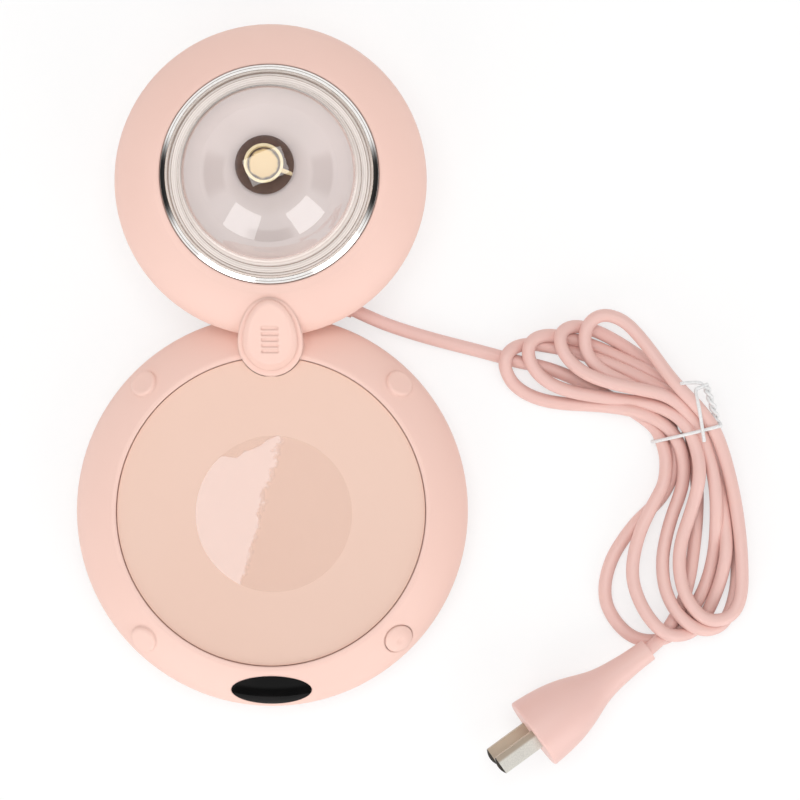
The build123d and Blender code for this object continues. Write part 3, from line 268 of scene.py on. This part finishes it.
cord = make_cord()
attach(cord, BODY)
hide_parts("cord_lead", "cord_hank", "cord_tail")


# ---- making meshes ------------------------------------------------------------------------------

SHARP_ANGLE = 35  # degrees


def take(piece):
    """Makes a piece the only one that operators act on."""
    for thing in bpy.context.selected_objects:
        thing.select_set(False)
    piece.select_set(True)
    bpy.context.view_layer.objects.active = piece


def set_down(piece, name):
    """Names a piece and puts its place into its mesh."""
    take(piece)
    bpy.ops.object.transform_apply(location=True, rotation=True, scale=True)
    piece.name = name
    piece.data.name = name
    return piece


def smooth(piece):
    """Shades a piece smooth, but for its sharp edges."""
    take(piece)
    bpy.ops.object.shade_smooth_by_angle(angle=math.radians(SHARP_ANGLE))
    return piece


# ---- wire tie round the hank --------------------------------------------------------------------

TIE_R = 0.6  # millimetres, as all the tie's places
TIE_LEFT, TIE_RIGHT = (127.6, -24.6), (148.2, -19.4)  # its band across the hank
TIE_SPOTS = 14
TIE_LEFT_OUT, TIE_RIGHT_OUT = Vector((-0.6, -0.1, -1.0)), Vector((0.6, 0.1, -0.3))
TIE_ROUND, TIE_ALONG = 4, 4  # how finely it is divided round and along
TWIST_LINE = [
    (148.0, -18.6, 9.5), (146.9, -15.2, 11.0), (145.5, -11.4, 12.6), (144.3, -7.6, 13.0),
    (143.4, -5.7, 13.0),
]
TWIST_TURNS = 2.6
TWIST_STEPS = 32
TWIST_R = 0.72
RAY_FROM = 0.1  # metres, well above the cord
UP, DOWN = Vector((0, 0, 1)), Vector((0, 0, -1))
SHORT_END = [(142.0, -5.0, 13.2), (139.1, -4.9, 13.0), (135.2, -5.3, 12.6)]
LONG_END = [
    (142.4, -6.5, 13.4), (140.6, -6.8, 13.8), (140.1, -7.9, 14.0), (141.0, -12.4, 14.2),
    (142.0, -17.6, 14.4), (142.6, -21.3, 14.4), (143.1, -24.5, 13.6),
]


def cord_surface():
    """The cord's skin, to find what lies under a place."""
    ready = cord.evaluated_get(bpy.context.evaluated_depsgraph_get())
    skin = bpy.data.meshes.new_from_object(ready)
    corners = [v.co for v in skin.vertices]
    tree = BVHTree.FromPolygons(corners, [tuple(f.vertices) for f in skin.polygons])
    bpy.data.meshes.remove(skin)
    return tree


def height_at(surface, x, y):
    """Height of the uppermost strand under a place, in millimetres."""
    hit = surface.ray_cast(Vector((x * MM, y * MM, RAY_FROM)), DOWN)[0]
    return hit.z / MM if hit else 0.0


def taut_over(surface, start, end):
    """Places of a band pulled straight over the strands from start to end."""
    spots = []
    for n in range(TIE_SPOTS + 1):
        x, y = (a + (b - a) * n / TIE_SPOTS for a, b in zip(start, end))
        spots.append(Vector((x, y, height_at(surface, x, y) + TIE_R)))
    held = [spots[0]]
    for spot in spots[1:]:
        while len(held) > 1 and sags(held[-2], held[-1], spot):
            held.pop()
        held.append(spot)
    return held


def sags(before, here, after):
    """True where a point lies under the straight line between its neighbours."""
    share = (here.xy - before.xy).length / (after.xy - before.xy).length
    return here.z < before.z + (after.z - before.z) * share


def twist_strand(start_turn):
    """One of the two ends that are twisted about each other."""
    line = [Vector(p) for p in TWIST_LINE]
    points = []
    for n in range(TWIST_STEPS + 1):
        share = n / TWIST_STEPS * (len(line) - 1)
        i = min(int(share), len(line) - 2)
        middle = line[i].lerp(line[i + 1], share - i)
        ahead = (line[i + 1] - line[i]).normalized()
        side = ahead.cross(UP).normalized()
        up = side.cross(ahead)
        turn = 2 * math.pi * (start_turn + TWIST_TURNS * n / TWIST_STEPS)
        points.append(middle + (side * math.cos(turn) + up * math.sin(turn)) * TWIST_R)
    return points


def clear_of(surface, points):
    """The places, lifted where they would run into a strand."""
    return [(x, y, max(z, height_at(surface, x, y) + TIE_R)) for x, y, z in points]


def make_tie():
    """Plastic-coated wire: a band round the hank, whose ends are twisted and stand off."""
    wire = new_tube("twist_tie_wire", TIE_ROUND, TIE_ALONG)
    surface = cord_surface()
    over = taut_over(surface, TIE_LEFT, TIE_RIGHT)
    left, right = over[0], over[-1]
    left_out, right_out = left + TIE_LEFT_OUT, right + TIE_RIGHT_OUT
    under = [left_out, (left_out.x, left_out.y, TIE_R), (right.x, right.y, TIE_R), right_out]
    short = [*twist_strand(0.0), *clear_of(surface, SHORT_END)]
    long = [*twist_strand(0.5), *clear_of(surface, LONG_END)]
    add_run(wire, [*reversed(under[:2]), *over, right_out, *short], TIE_R * MM)
    add_run(wire, [*under[1:], *long], TIE_R * MM)
    return wire


tie = make_tie()
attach(tie, BODY)
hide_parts("twist_tie")


# ---- film on the warming plate ------------------------------------------------------------------

PLATE_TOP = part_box("heating_plate")[1][2]
FILM_X, FILM_Y = 0.9 * MM, -48.2 * MM
FILM_R = 25.7 * MM
FILM_LIFT = 0.12 * MM  # its top, above the plate
FILM_T = 0.072 * MM
FILM_SIDES = 128
FILM_INSETS = (0.6, 5.0, 6.0, 6.0)  # millimetres from ring to ring, from its edge inwards
CURL_FROM = 0.7  # share of its radius
CURL = 0.10 * MM
CURL_WAVES, CURL_TURN, CURL_SWING = 3, 0.6, 0.7


def make_film():
    """Thin round protective film, lying on the plate and lifted a little along its edge."""
    bpy.ops.mesh.primitive_circle_add(
        vertices=FILM_SIDES, radius=FILM_R, fill_type="NGON",
        location=(FILM_X, FILM_Y, PLATE_TOP + FILM_LIFT),
    )
    film = set_down(bpy.context.object, "clear_film")
    bpy.ops.object.mode_set(mode="EDIT")
    bpy.ops.mesh.select_all(action="SELECT")
    for inset in FILM_INSETS:
        bpy.ops.mesh.inset(thickness=inset * MM)
    bpy.ops.object.mode_set(mode="OBJECT")
    for point in film.data.vertices:
        across = math.hypot(point.co.x - FILM_X, point.co.y - FILM_Y)
        turn = math.atan2(point.co.y - FILM_Y, point.co.x - FILM_X)
        edge = max(0.0, across / FILM_R - CURL_FROM) / (1 - CURL_FROM)
        point.co.z += CURL * edge * (1 + math.sin(CURL_WAVES * turn + CURL_TURN) * CURL_SWING)
    wall = film.modifiers.new("thickness", "SOLIDIFY")
    wall.thickness = FILM_T
    wall.offset = -1
    bpy.ops.object.modifier_apply(modifier="thickness")
    return smooth(film)


film = make_film()
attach(film, BODY)


# ---- materials ----------------------------------------------------------------------------------


class Sock:
    """A socket that numbers and other sockets can be added to, multiplied by and so on."""

    def __init__(self, shader, socket):
        self.shader = shader
        self.socket = socket

    def _math(self, operation, first, second=0.0, clamp=False):
        settings = {"operation": operation, "use_clamp": clamp}
        return self.shader.node("ShaderNodeMath", settings, {0: first, 1: second})["Value"]

    def __add__(self, other):
        return self._math("ADD", self, other)

    __radd__ = __add__

    def __sub__(self, other):
        return self._math("SUBTRACT", self, other)

    def __rsub__(self, other):
        return self._math("SUBTRACT", other, self)

    def __mul__(self, other):
        return self._math("MULTIPLY", self, other)

    __rmul__ = __mul__

    def __truediv__(self, other):
        return self._math("DIVIDE", self, other)

    def __pow__(self, other):
        return self._math("POWER", self, other)

    def most(self, other):
        return self._math("MAXIMUM", self, other)

    def size(self):
        return self._math("ABSOLUTE", self)

    def sine(self):
        return self._math("SINE", self)

    def held(self):
        """The value kept between 0 and 1."""
        return self._math("ADD", self, 0.0, clamp=True)

    def band(self, low, high):
        """0 below low, 1 above high, and smooth between."""
        settings = {"interpolation_type": "SMOOTHSTEP"}
        values = {"Value": self, "From Min": low, "From Max": high}
        return self.shader.node("ShaderNodeMapRange", settings, values)["Result"]


class Outputs:
    def __init__(self, shader, node):
        self.shader = shader
        self.raw = node

    def __getitem__(self, name):
        return Sock(self.shader, self.raw.outputs[name])


class Shader:
    """One material: a principled surface whose sockets the finish functions fill.

    Its constants serve where a socket stays bare, and exporters that read no nodes.
    """

    def __init__(self, name, **constants):
        self.material = bpy.data.materials.new(name)
        self.material.use_nodes = True
        self.tree = self.material.node_tree
        self.surface = self.tree.nodes["Principled BSDF"]
        self.output = self.tree.nodes["Material Output"]
        for socket, value in constants.items():
            self.set(socket.replace("_", " ").title().replace("Ior", "IOR"), value)

    def set(self, socket, value):
        self._fill(self.surface.inputs[socket], value)

    def _fill(self, target, value):
        if isinstance(value, Sock):
            self.tree.links.new(value.socket, target)
        elif isinstance(value, (tuple, list)) and len(value) == 3 and target.type == "RGBA":
            target.default_value = (*value, 1.0)
        else:
            target.default_value = value

    def node(self, kind, settings=None, values=None):
        made = self.tree.nodes.new(kind)
        for key, value in (settings or {}).items():
            setattr(made, key, value)
        for key, value in (values or {}).items():
            self._fill(made.inputs[key], value)
        return Outputs(self, made)

    def place(self):
        return self.node("ShaderNodeTexCoord")["Object"]

    def axes(self):
        parts = self.node("ShaderNodeSeparateXYZ", None, {0: self.place()})
        return parts["X"], parts["Y"], parts["Z"]

    def from_line(self, line_x, line_y):
        """Distance from an upright line."""
        x, y, _ = self.axes()
        off_x, off_y = x - line_x, y - line_y
        return (off_x * off_x + off_y * off_y) ** 0.5

    def ray(self, kind):
        return self.node("ShaderNodeLightPath")[f"Is {kind} Ray"]

    def seen(self):
        """1 for rays that show the surface itself, and 0 for those that only light others."""
        return self.ray("Camera").most(self.ray("Glossy")).most(self.ray("Transmission"))

    def noise(self, scale, detail=2.0, roughness=0.5):
        values = {"Vector": self.place(), "Scale": scale, "Detail": detail, "Roughness": roughness}
        return self.node("ShaderNodeTexNoise", None, values)["Fac"]

    def mix(self, share, first, second):
        """Colour first at 0 and second at 1."""
        made = self.node("ShaderNodeMix", {"data_type": "RGBA"})
        self._fill(made.raw.inputs["Factor"], share)
        for target, value in zip([i for i in made.raw.inputs if i.type == "RGBA"], (first, second)):
            self._fill(target, value)
        return Sock(self, [o for o in made.raw.outputs if o.type == "RGBA"][0])

    def bump(self, height, distance, strength, normal=None):
        values = {"Height": height, "Distance": distance, "Strength": strength}
        if normal is not None:
            values["Normal"] = normal
        self.set("Normal", self.node("ShaderNodeBump", None, values)["Normal"])

    def veil(self, behind, share):
        """The finished surface laid over another shader, by a share from 0 to 1."""
        mixed_surface = self.node("ShaderNodeMixShader", None, {0: share, 1: behind})
        self._fill(mixed_surface.raw.inputs[2], Sock(self, self.surface.outputs[0]))
        self._fill(self.output.inputs["Surface"], mixed_surface["Shader"])

    def soft_edges(self, radius):
        """A normal that rounds edges off in the shading."""
        return self.node("ShaderNodeBevel", {"samples": 8}, {"Radius": radius})["Normal"]


class Room(Shader):
    """The world's shader, with the same nodes as a material's."""

    def __init__(self, world):
        self.tree = world.node_tree
        self.back = self.tree.nodes["Background"]

    def directions(self):
        way = self.node("ShaderNodeTexCoord")["Generated"]
        parts = self.node("ShaderNodeSeparateXYZ", None, {0: way})
        return parts["X"], parts["Y"], parts["Z"]

    def background(self, colour, strength):
        self._fill(self.back.inputs["Color"], colour)
        self._fill(self.back.inputs["Strength"], strength)


DOME_LOW, DOME_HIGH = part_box("dome")
LAMP_Y = (DOME_LOW[1] + DOME_HIGH[1]) / 2
FOOT_START, FOOT_FULL = 27.4, 28.6  # radii in millimetres, as all round the dome
RING_PITCH = 0.75
FLANGE_LINES = ((29.95, 0.16), (31.95, 0.14), (32.9, 0.22))  # radius and half width
FLANGE_PALE, FLANGE_DEEP, FLANGE_BROWN = (1.0, 0.93, 0.88), (0.93, 0.84, 0.79), (0.50, 0.38, 0.32)
FLANGE_MILK, RING_MILK = 0.88, 0.1  # how much they hide
DOME_CLEAR, DOME_SHEEN = (0.985, 0.975, 0.975), (0.98, 0.98, 0.98)
DOME_IOR = 1.46
DOME_GAIN, DOME_LEAST = 1.5, 0.045  # its reflection: times the edge's, and at the least
# Radii and half widths of the chrome's two thin rings of painted groove shade.
CHROME_SHADE_LINES = ((34.75, 0.10), (33.75, 0.12))
CHROME_PALE, CHROME_DEEP, CHROME_GROOVE_SHADE = (0.90, 0.88, 0.86), (0.82, 0.79, 0.77), (0.22, 0.17, 0.14)
DIFFUSER_PALE, DIFFUSER_DEEP = (0.84, 0.765, 0.75), (0.77, 0.72, 0.705)
NEAR_LAMP = 0.001  # metres, keeps the middle from dividing by 0

# The film's own colour, then its painted reflection: a paler colour and a painted glow.
FILM_CLEAR, FILM_REFLECTION_PALE, FILM_PAINTED_GLOW = (0.84, 0.63, 0.53), (1.0, 0.90, 0.83), (0.10, 0.056, 0.07)
FILM_THROUGH = (0.995, 0.992, 0.99)
FILM_VEIL, REFLECTION_VEIL = 0.05, 0.27  # how much they hide, over the whole film and under its painted reflection
REFLECTION_WAVES = 9.0  # millimetres, as the painted reflection's places from the film's middle
REFLECTION_IN, REFLECTION_LEAN = 4.6, 0.27
REFLECTION_TOP, TOP_FROM, TOP_LEAN = 18.6, 12.0, 0.55

NICKEL, NICKEL_SHADE, NICKEL_BEVEL_SHADE = (0.90, 0.87, 0.80), (0.52, 0.43, 0.34), (0.05, 0.045, 0.04)
PLUG_FRONT = Vector((86.4, -121.6, 12.5))  # millimetres
PLUG_WAY = Vector((38.6, 27.7, -4.3)).normalized()
BLADE_BEVEL, BEVEL_BLUR = 14.9, 0.05  # its start, millimetres from the plug's front
WINDOW_BLACK, WINDOW_SMUDGE = (0.004, 0.004, 0.004), (0.008, 0.007, 0.007)


def finish(material, *pieces):
    """Gives the material to pieces or CAD nodes."""
    for piece in pieces:
        piece = nodes[piece] if isinstance(piece, str) else piece
        piece.data.materials.clear()
        piece.data.materials.append(material)


def shell_finish():
    """Matte moulded plastic with a very fine spark-eroded grain and faint flow shades."""
    shader = Shader("shell_pink", roughness=0.5, specular_ior_level=0.42)
    cloud = shader.noise(22.0, 3.0)
    fine = shader.noise(5200.0, 2.0, 0.6)
    shader.set("Base Color", shader.mix(cloud.band(0.3, 0.75), SHELL_PINK, SHELL_SHADE))
    shader.set("Roughness", 0.46 + fine * 0.1)
    shader.bump(fine, 0.00003, 0.5, shader.soft_edges(0.0012))
    return shader.material


def cover_finish():
    """The covers' plastic: the shell's pink, a little coarser and duller."""
    shader = Shader("cover_pink", roughness=0.58, specular_ior_level=0.4)
    fine = shader.noise(3400.0, 2.0, 0.6)
    shader.set("Base Color", shader.mix(fine.band(0.3, 0.7), SHELL_SHADE, SHELL_PINK))
    shader.set("Roughness", 0.54 + fine * 0.12)
    shader.bump(fine, 0.00004, 0.6, shader.soft_edges(0.0005))
    return shader.material


def plate_finish():
    """Champagne plate: fine sprayed grain that sparkles a little."""
    shader = Shader("plate_champagne", metallic=0.25, roughness=0.42, specular_ior_level=0.5)
    grain = shader.noise(4200.0, 3.0, 0.7)
    cloud = shader.noise(14.0, 2.0)
    deep = mixed(PLATE_CHAMPAGNE, SHELL_DEEP, 0.3)
    tone = shader.mix(grain.band(0.25, 0.75), deep, PLATE_CHAMPAGNE)
    pale = mixed(PLATE_CHAMPAGNE, WHITE, 0.1)
    shader.set("Base Color", shader.mix(cloud.band(0.3, 0.8) * 0.3, tone, pale))
    shader.set("Roughness", 0.36 + grain * 0.16)
    shader.bump(grain, 0.00004, 0.8)
    return shader.material


def cord_finish(name, colour):
    """Soft PVC with a faint satin and small smudges."""
    shader = Shader(name, roughness=0.42, specular_ior_level=0.5)
    smudge = shader.noise(160.0, 4.0, 0.6)
    fine = shader.noise(2600.0, 2.0)
    deep = mixed(colour, SHELL_DEEP, 0.35)
    shader.set("Base Color", shader.mix(smudge.band(0.45, 0.85), colour, deep))
    shader.set("Roughness", 0.36 + fine * 0.14)
    shader.bump(fine, 0.00004, 0.5)
    return shader.material


def plain_finish(name, colour, roughness, metallic=0.0, grain=1800.0, depth=0.00003, shade=0.12):
    """Moulded or turned part: one colour with a fine grain and slight shading."""
    shader = Shader(name, metallic=metallic)
    fine = shader.noise(grain, 3.0, 0.6)
    shader.set("Base Color", shader.mix(fine.band(0.3, 0.7), mixed(colour, BLACK, shade), colour))
    shader.set("Roughness", roughness * 0.9 + fine * roughness * 0.2)
    shader.bump(fine, depth, 0.6)
    return shader.material


def blade_finish():
    """Nickel plate, with painted shade on the blade behind and on the tips' bevels."""
    shader = Shader("nickel", metallic=1.0)
    x, y, z = (axis * (1 / MM) - at for axis, at in zip(shader.axes(), PLUG_FRONT))
    out = x * -PLUG_WAY.x + y * -PLUG_WAY.y + z * -PLUG_WAY.z
    behind = y * PLUG_WAY.x - x * PLUG_WAY.y
    fine = shader.noise(2600.0, 3.0, 0.6)
    plate = shader.mix(fine.band(0.3, 0.7), mixed(NICKEL, BLACK, 0.14), NICKEL)
    # Painted shade on the blade behind and, below, on the tips' bevels.
    plate = shader.mix(behind.band(-0.5, 0.5), plate, NICKEL_SHADE)
    bevel_shade = out.band(BLADE_BEVEL - BEVEL_BLUR, BLADE_BEVEL + BEVEL_BLUR)
    shader.set("Base Color", shader.mix(bevel_shade, plate, NICKEL_BEVEL_SHADE))
    shader.set("Roughness", 0.42 + fine * 0.1)
    shader.bump(fine, 0.00002, 0.6)
    return shader.material


def thin_rings(across, lines):
    """1 on thin rings, each given by its radius and half width, and 0 between them."""
    rings = [1 - (across - radius).size().band(half / 2, half) for radius, half in lines]
    return sum(rings[1:], rings[0]).held()


def dome_finish():
    """Clear plastic that reflects more at its edges, with a milky, finely ringed flange."""
    shader = Shader("clear_dome")
    across = shader.from_line(0, LAMP_Y) * (1 / MM)
    foot = across.band(FOOT_START, FOOT_FULL)
    haze = shader.noise(260.0, 3.0)
    rings = (across * (2 * math.pi / RING_PITCH)).sine() * 0.5 + 0.5
    milk = shader.mix(rings, FLANGE_DEEP, FLANGE_PALE)
    flange = shader.mix(thin_rings(across, FLANGE_LINES), milk, FLANGE_BROWN)
    shader.set("Base Color", shader.mix(foot, DOME_SHEEN, flange))
    shader.set("Metallic", 1 - foot)
    shader.set("Roughness", haze.band(0.55, 0.9) * 0.03 + 0.03 + foot * 0.15)
    through = shader.node("ShaderNodeBsdfTransparent", None, {"Color": DOME_CLEAR})["BSDF"]
    edge = shader.node("ShaderNodeFresnel", None, {"IOR": DOME_IOR})["Fac"]
    outer = 1 - shader.node("ShaderNodeNewGeometry")["Backfacing"]
    glass = (edge * DOME_GAIN + DOME_LEAST) * outer
    flange_veil = foot * (FLANGE_MILK + rings * RING_MILK)
    shader.veil(through, (glass * (1 - foot) + flange_veil).held())
    return shader.material


def film_finish():
    """Clear film, with a painted reflection of the light over its left side: a paler colour, a
    painted glow and a thicker veil.
    """
    shader = Shader("clear_film", specular_ior_level=0.5, emission_strength=1.0)
    x, y, _ = shader.axes()
    across = (x - FILM_X) * (1 / MM)
    along = (y - FILM_Y) * (1 / MM)
    waves = (shader.noise(240.0, 5.0, 0.62) - 0.5) * REFLECTION_WAVES
    left = 1 - (across - along * REFLECTION_LEAN + REFLECTION_IN + waves).band(-0.9, 1.3)
    slope = (across + TOP_FROM).most(0.0) * TOP_LEAN
    low = 1 - (along - REFLECTION_TOP - slope + waves * 0.4).band(-0.3, 0.5)
    pale = left * low
    # Painted reflection: the film's left side is paler, glows faintly and hides more of the plate.
    shader.set("Base Color", shader.mix(pale, FILM_CLEAR, FILM_REFLECTION_PALE))
    shader.set("Emission Color", shader.mix(pale, BLACK, FILM_PAINTED_GLOW))
    shader.set("Roughness", 0.45)
    through = shader.node("ShaderNodeBsdfTransparent", None, {"Color": FILM_THROUGH})["BSDF"]
    shader.veil(through, FILM_VEIL + pale * REFLECTION_VEIL)
    return shader.material


def chrome_finish():
    """Polished ring with faint hairlines, and painted shade in two thin dark rings that stand for
    fine turned grooves.
    """
    shader = Shader("chrome", metallic=1.0)
    groove_shade = thin_rings(shader.from_line(0, LAMP_Y) * (1 / MM), CHROME_SHADE_LINES)
    scratch = shader.noise(900.0, 4.0, 0.7)
    steel = shader.mix(scratch.band(0.4, 0.8), CHROME_PALE, CHROME_DEEP)
    # Painted shade: dark rings where grooves would shade the chrome.
    shader.set("Base Color", shader.mix(groove_shade, steel, CHROME_GROOVE_SHADE))
    shader.set("Roughness", 0.05 + scratch * 0.06)
    return shader.material


def diffuser_finish():
    """Frosted plastic over the lamp, pale grey, with a faint fan of painted reflection: lighter
    sectors and a darker wedge.
    """
    shader = Shader("frosted_diffuser", roughness=0.6, specular_ior_level=0.3)
    _, y, _ = shader.axes()
    front = (LAMP_Y - y) / (shader.from_line(0, LAMP_Y) + NEAR_LAMP)
    # Painted reflection of the lamps: a darker wedge straight to the front, lighter sectors beside
    # it.
    painted_dark_wedge = front.band(0.86, 0.97)
    painted_highlight_sectors = front.band(0.35, 0.6) * (1 - painted_dark_wedge)
    fine = shader.noise(3000.0, 2.0)
    cloud = shader.noise(40.0, 2.0)
    middle = mixed(DIFFUSER_PALE, DIFFUSER_DEEP, 0.5)
    tone = shader.mix(cloud.band(0.3, 0.7), DIFFUSER_PALE, middle)
    tone = shader.mix(painted_dark_wedge * 0.3, tone, DIFFUSER_DEEP)
    tone = shader.mix(painted_highlight_sectors * 0.25, tone, mixed(DIFFUSER_PALE, WHITE, 0.3))
    shader.set("Base Color", tone)
    shader.set("Roughness", 0.5 + fine * 0.2)
    shader.bump(fine, 0.00003, 0.5)
    return shader.material


def window_finish():
    """Glossy black window with the faintest smudges."""
    shader = Shader("window_black", roughness=0.06, specular_ior_level=0.1)
    smudge = shader.noise(120.0, 3.0)
    shader.set("Base Color", shader.mix(smudge.band(0.4, 0.8), WINDOW_BLACK, WINDOW_SMUDGE))
    shader.set("Roughness", 0.04 + smudge * 0.05)
    return shader.material


def drink_finish():
    """Milk foam with a darker coffee edge along the cup's wall."""
    shader = Shader("coffee_foam", roughness=0.55)
    low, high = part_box("coffee")
    middle = ((low[i] + high[i]) / 2 for i in range(2))
    across = shader.from_line(*middle) * (2 / (high[0] - low[0]))
    swirl = shader.noise(420.0, 3.0) * 0.3
    shader.set("Base Color", shader.mix((across + swirl).band(0.95, 1.12), FOAM, COFFEE))
    shader.set("Roughness", 0.5 + swirl)
    shader.bump(swirl, 0.0002, 0.5)
    return shader.material


def glaze_finish(name, colour, dark):
    """Glazed pottery with faint brush streaks."""
    shader = Shader(name, roughness=0.2, coat_weight=0.4)
    streak = shader.noise(380.0, 3.0)
    shader.set("Base Color", shader.mix(streak.band(0.35, 0.75), colour, dark))
    shader.set("Roughness", 0.18 + streak * 0.1)
    return shader.material


finish(shell_finish(), "upper_shell", "push_button")
finish(cover_finish(), "base_bottom_cover", "head_bottom_cover")
finish(plate_finish(), "heating_plate")
finish(cord_finish("cord_pink", CORD_PINK), cord, "strain_relief")
finish(cord_finish("plug_pink", mixed(CORD_PINK, SHELL_PINK, 0.1)), "plug_body")
finish(dome_finish(), "dome")
finish(film_finish(), film)
finish(chrome_finish(), "chrome_ring")
finish(diffuser_finish(), "light_diffuser")
finish(window_finish(), "display_window")
finish(glaze_finish("cup_cream", CREAM, mixed(CREAM, COFFEE, 0.12)), "cup")
finish(glaze_finish("saucer_cocoa", COCOA, mixed(COCOA, BLACK, 0.3)), "saucer")
finish(drink_finish(), "coffee")
finish(plain_finish("tie_white", TIE_WHITE, 0.45), tie)
finish(blade_finish(), "plug_blades")
finish(
    plain_finish("rubber_black", (0.035, 0.035, 0.036), 0.8, 0.0, 1500.0, 0.00006, 0.4),
    "rubber_feet",
)
finish(
    plain_finish("steel", (0.6, 0.6, 0.6), 0.3, 1.0), "cover_screws", "shield_screws",
    "board_screws", "panel_screws", "lamp_board_screws", "clamp_screws", "heat_shield",
)
finish(
    plain_finish("board_green", (0.03, 0.2, 0.08), 0.4), "control_board", "display_board",
    "button_board", "lamp_board",
)
finish(
    plain_finish("part_black", (0.03, 0.03, 0.032), 0.4), "heater_relay", "controller_chip",
    "tact_switch", "display_digits",
)
finish(
    plain_finish("connector_white", (0.8, 0.8, 0.77), 0.45), "mains_connector",
    "lamp_connector", "terminal_block", "cord_clamp", "switch_plunger",
)
finish(plain_finish("can_blue", (0.08, 0.12, 0.3), 0.3), "capacitors")
finish(plain_finish("copper", (0.7, 0.35, 0.16), 0.35, 1.0), "power_choke", "thermal_fuse")
finish(plain_finish("mica", (0.5, 0.4, 0.26), 0.5), "heater_element")
finish(
    plain_finish("pad_white", (0.85, 0.85, 0.82), 0.95, 0.0, 700.0, 0.0002), "insulation_pad"
)
finish(plain_finish("silicone", (0.6, 0.42, 0.38), 0.6), "plate_seal")
finish(plain_finish("led_yellow", (0.85, 0.75, 0.3), 0.3), "lamp_leds")
finish(
    plain_finish("wire_white", (0.75, 0.74, 0.72), 0.5), "heater_leads", "mains_leads",
    "lamp_leads", "thermistor", "mains_sheath",
)


# ---- floor and lights ---------------------------------------------------------------------------

FLOOR_SIDE = 6.0
FLOOR_GLOW = 0.62
FLOOR_WHITE = (0.97, 0.97, 0.97)
OVERHEAD_AT = (VIEW_X - 0.1, VIEW_Y + 0.25, 1.55)
OVERHEAD_SIZE, OVERHEAD_POWER = (1.3, 0.9), 9.0
BOX_DISTANCE, BOX_HEIGHT = 1.2, 0.48
BOX_SIZE, BOX_AIM = (0.75, 0.95), (0, 0, 0.02)
BOXES = (("left_box", -32, 4.0), ("right_box", 42, 4.3))  # name, bearing and power
WORLD_LIGHT = 0.60
WORLD_TINT = (1.0, 0.99, 0.98)
SIDE_START, SIDE_FULL = 0.90, 0.985  # how nearly sideways a side flag stands, as a share
SIDE_LOW, SIDE_TOP = 0.18, 0.55  # its heights, as shares
FRONT_START, FRONT_FULL = 0.90, 0.965
FRONT_TOP = 0.24
LEAST_LEVEL = 0.001  # keeps straight up from dividing by 0
FLAG_EDGE = 0.12
FLAG_DARK = 0.97
WALL_TOP, CEILING = 0.55, 0.80  # heights, as shares
CEILING_DARK = 0.75


def make_floor():
    """White floor, which shows brighter than the light that it gives back."""
    bpy.ops.mesh.primitive_plane_add(size=FLOOR_SIDE, location=(VIEW_X, VIEW_Y, 0))
    floor = set_down(bpy.context.object, "floor")
    shader = Shader("floor_white", roughness=0.9, specular_ior_level=0.1)
    shader.set("Base Color", FLOOR_WHITE)
    glow = shader.node("ShaderNodeEmission", None, {"Color": WHITE, "Strength": 1.0})
    shader.veil(glow["Emission"], 1 - shader.seen() * FLOOR_GLOW)
    finish(shader.material, floor)


def soft_box(name, place, aim, size, power):
    """A rectangular lamp at a place, turned to what it lights."""
    data = bpy.data.lights.new(name, "AREA")
    data.shape = "RECTANGLE"
    data.size, data.size_y = size
    data.energy = power
    lamp = bpy.data.objects.new(name, data)
    bpy.context.collection.objects.link(lamp)
    lamp.location = place
    lamp.rotation_euler = (Vector(aim) - Vector(place)).to_track_quat("-Z", "Y").to_euler()


def around(bearing, distance, height):
    """A place at a bearing in degrees, right of the front."""
    turn = math.radians(bearing)
    return (VIEW_X + distance * math.sin(turn), VIEW_Y - distance * math.cos(turn), height)


def make_lights():
    soft_box("overhead", OVERHEAD_AT, (VIEW_X, VIEW_Y, 0), OVERHEAD_SIZE, OVERHEAD_POWER)
    for name, bearing, power in BOXES:
        soft_box(name, around(bearing, BOX_DISTANCE, BOX_HEIGHT), BOX_AIM, BOX_SIZE, power)


def make_world():
    """Even pale light. Reflections see it white, but for dark flags at the sides and the front."""
    world = bpy.data.worlds.new("studio")
    world.use_nodes = True
    bpy.context.scene.world = world
    room = Room(world)
    seen = room.seen()
    x, y, z = room.directions()
    level = (x * x + y * y) ** 0.5 + LEAST_LEVEL
    side = (x.size() / level).band(SIDE_START, SIDE_FULL)
    side *= z.band(SIDE_LOW - FLAG_EDGE, SIDE_LOW)
    side *= 1 - z.band(SIDE_TOP, SIDE_TOP + FLAG_EDGE)
    front = ((0 - y) / level).band(FRONT_START, FRONT_FULL)
    front *= 1 - z.band(FRONT_TOP, FRONT_TOP + FLAG_EDGE)
    flags = side.most(front) * FLAG_DARK
    ceiling = z.band(WALL_TOP, CEILING) * CEILING_DARK
    white = 1 - flags.most(ceiling) * room.ray("Glossy")
    room.background(room.mix(seen, WORLD_TINT, WHITE), seen * white + (1 - seen) * WORLD_LIGHT)


make_floor()
make_lights()
make_world()
bpy.context.scene.view_settings.view_transform = "Standard"
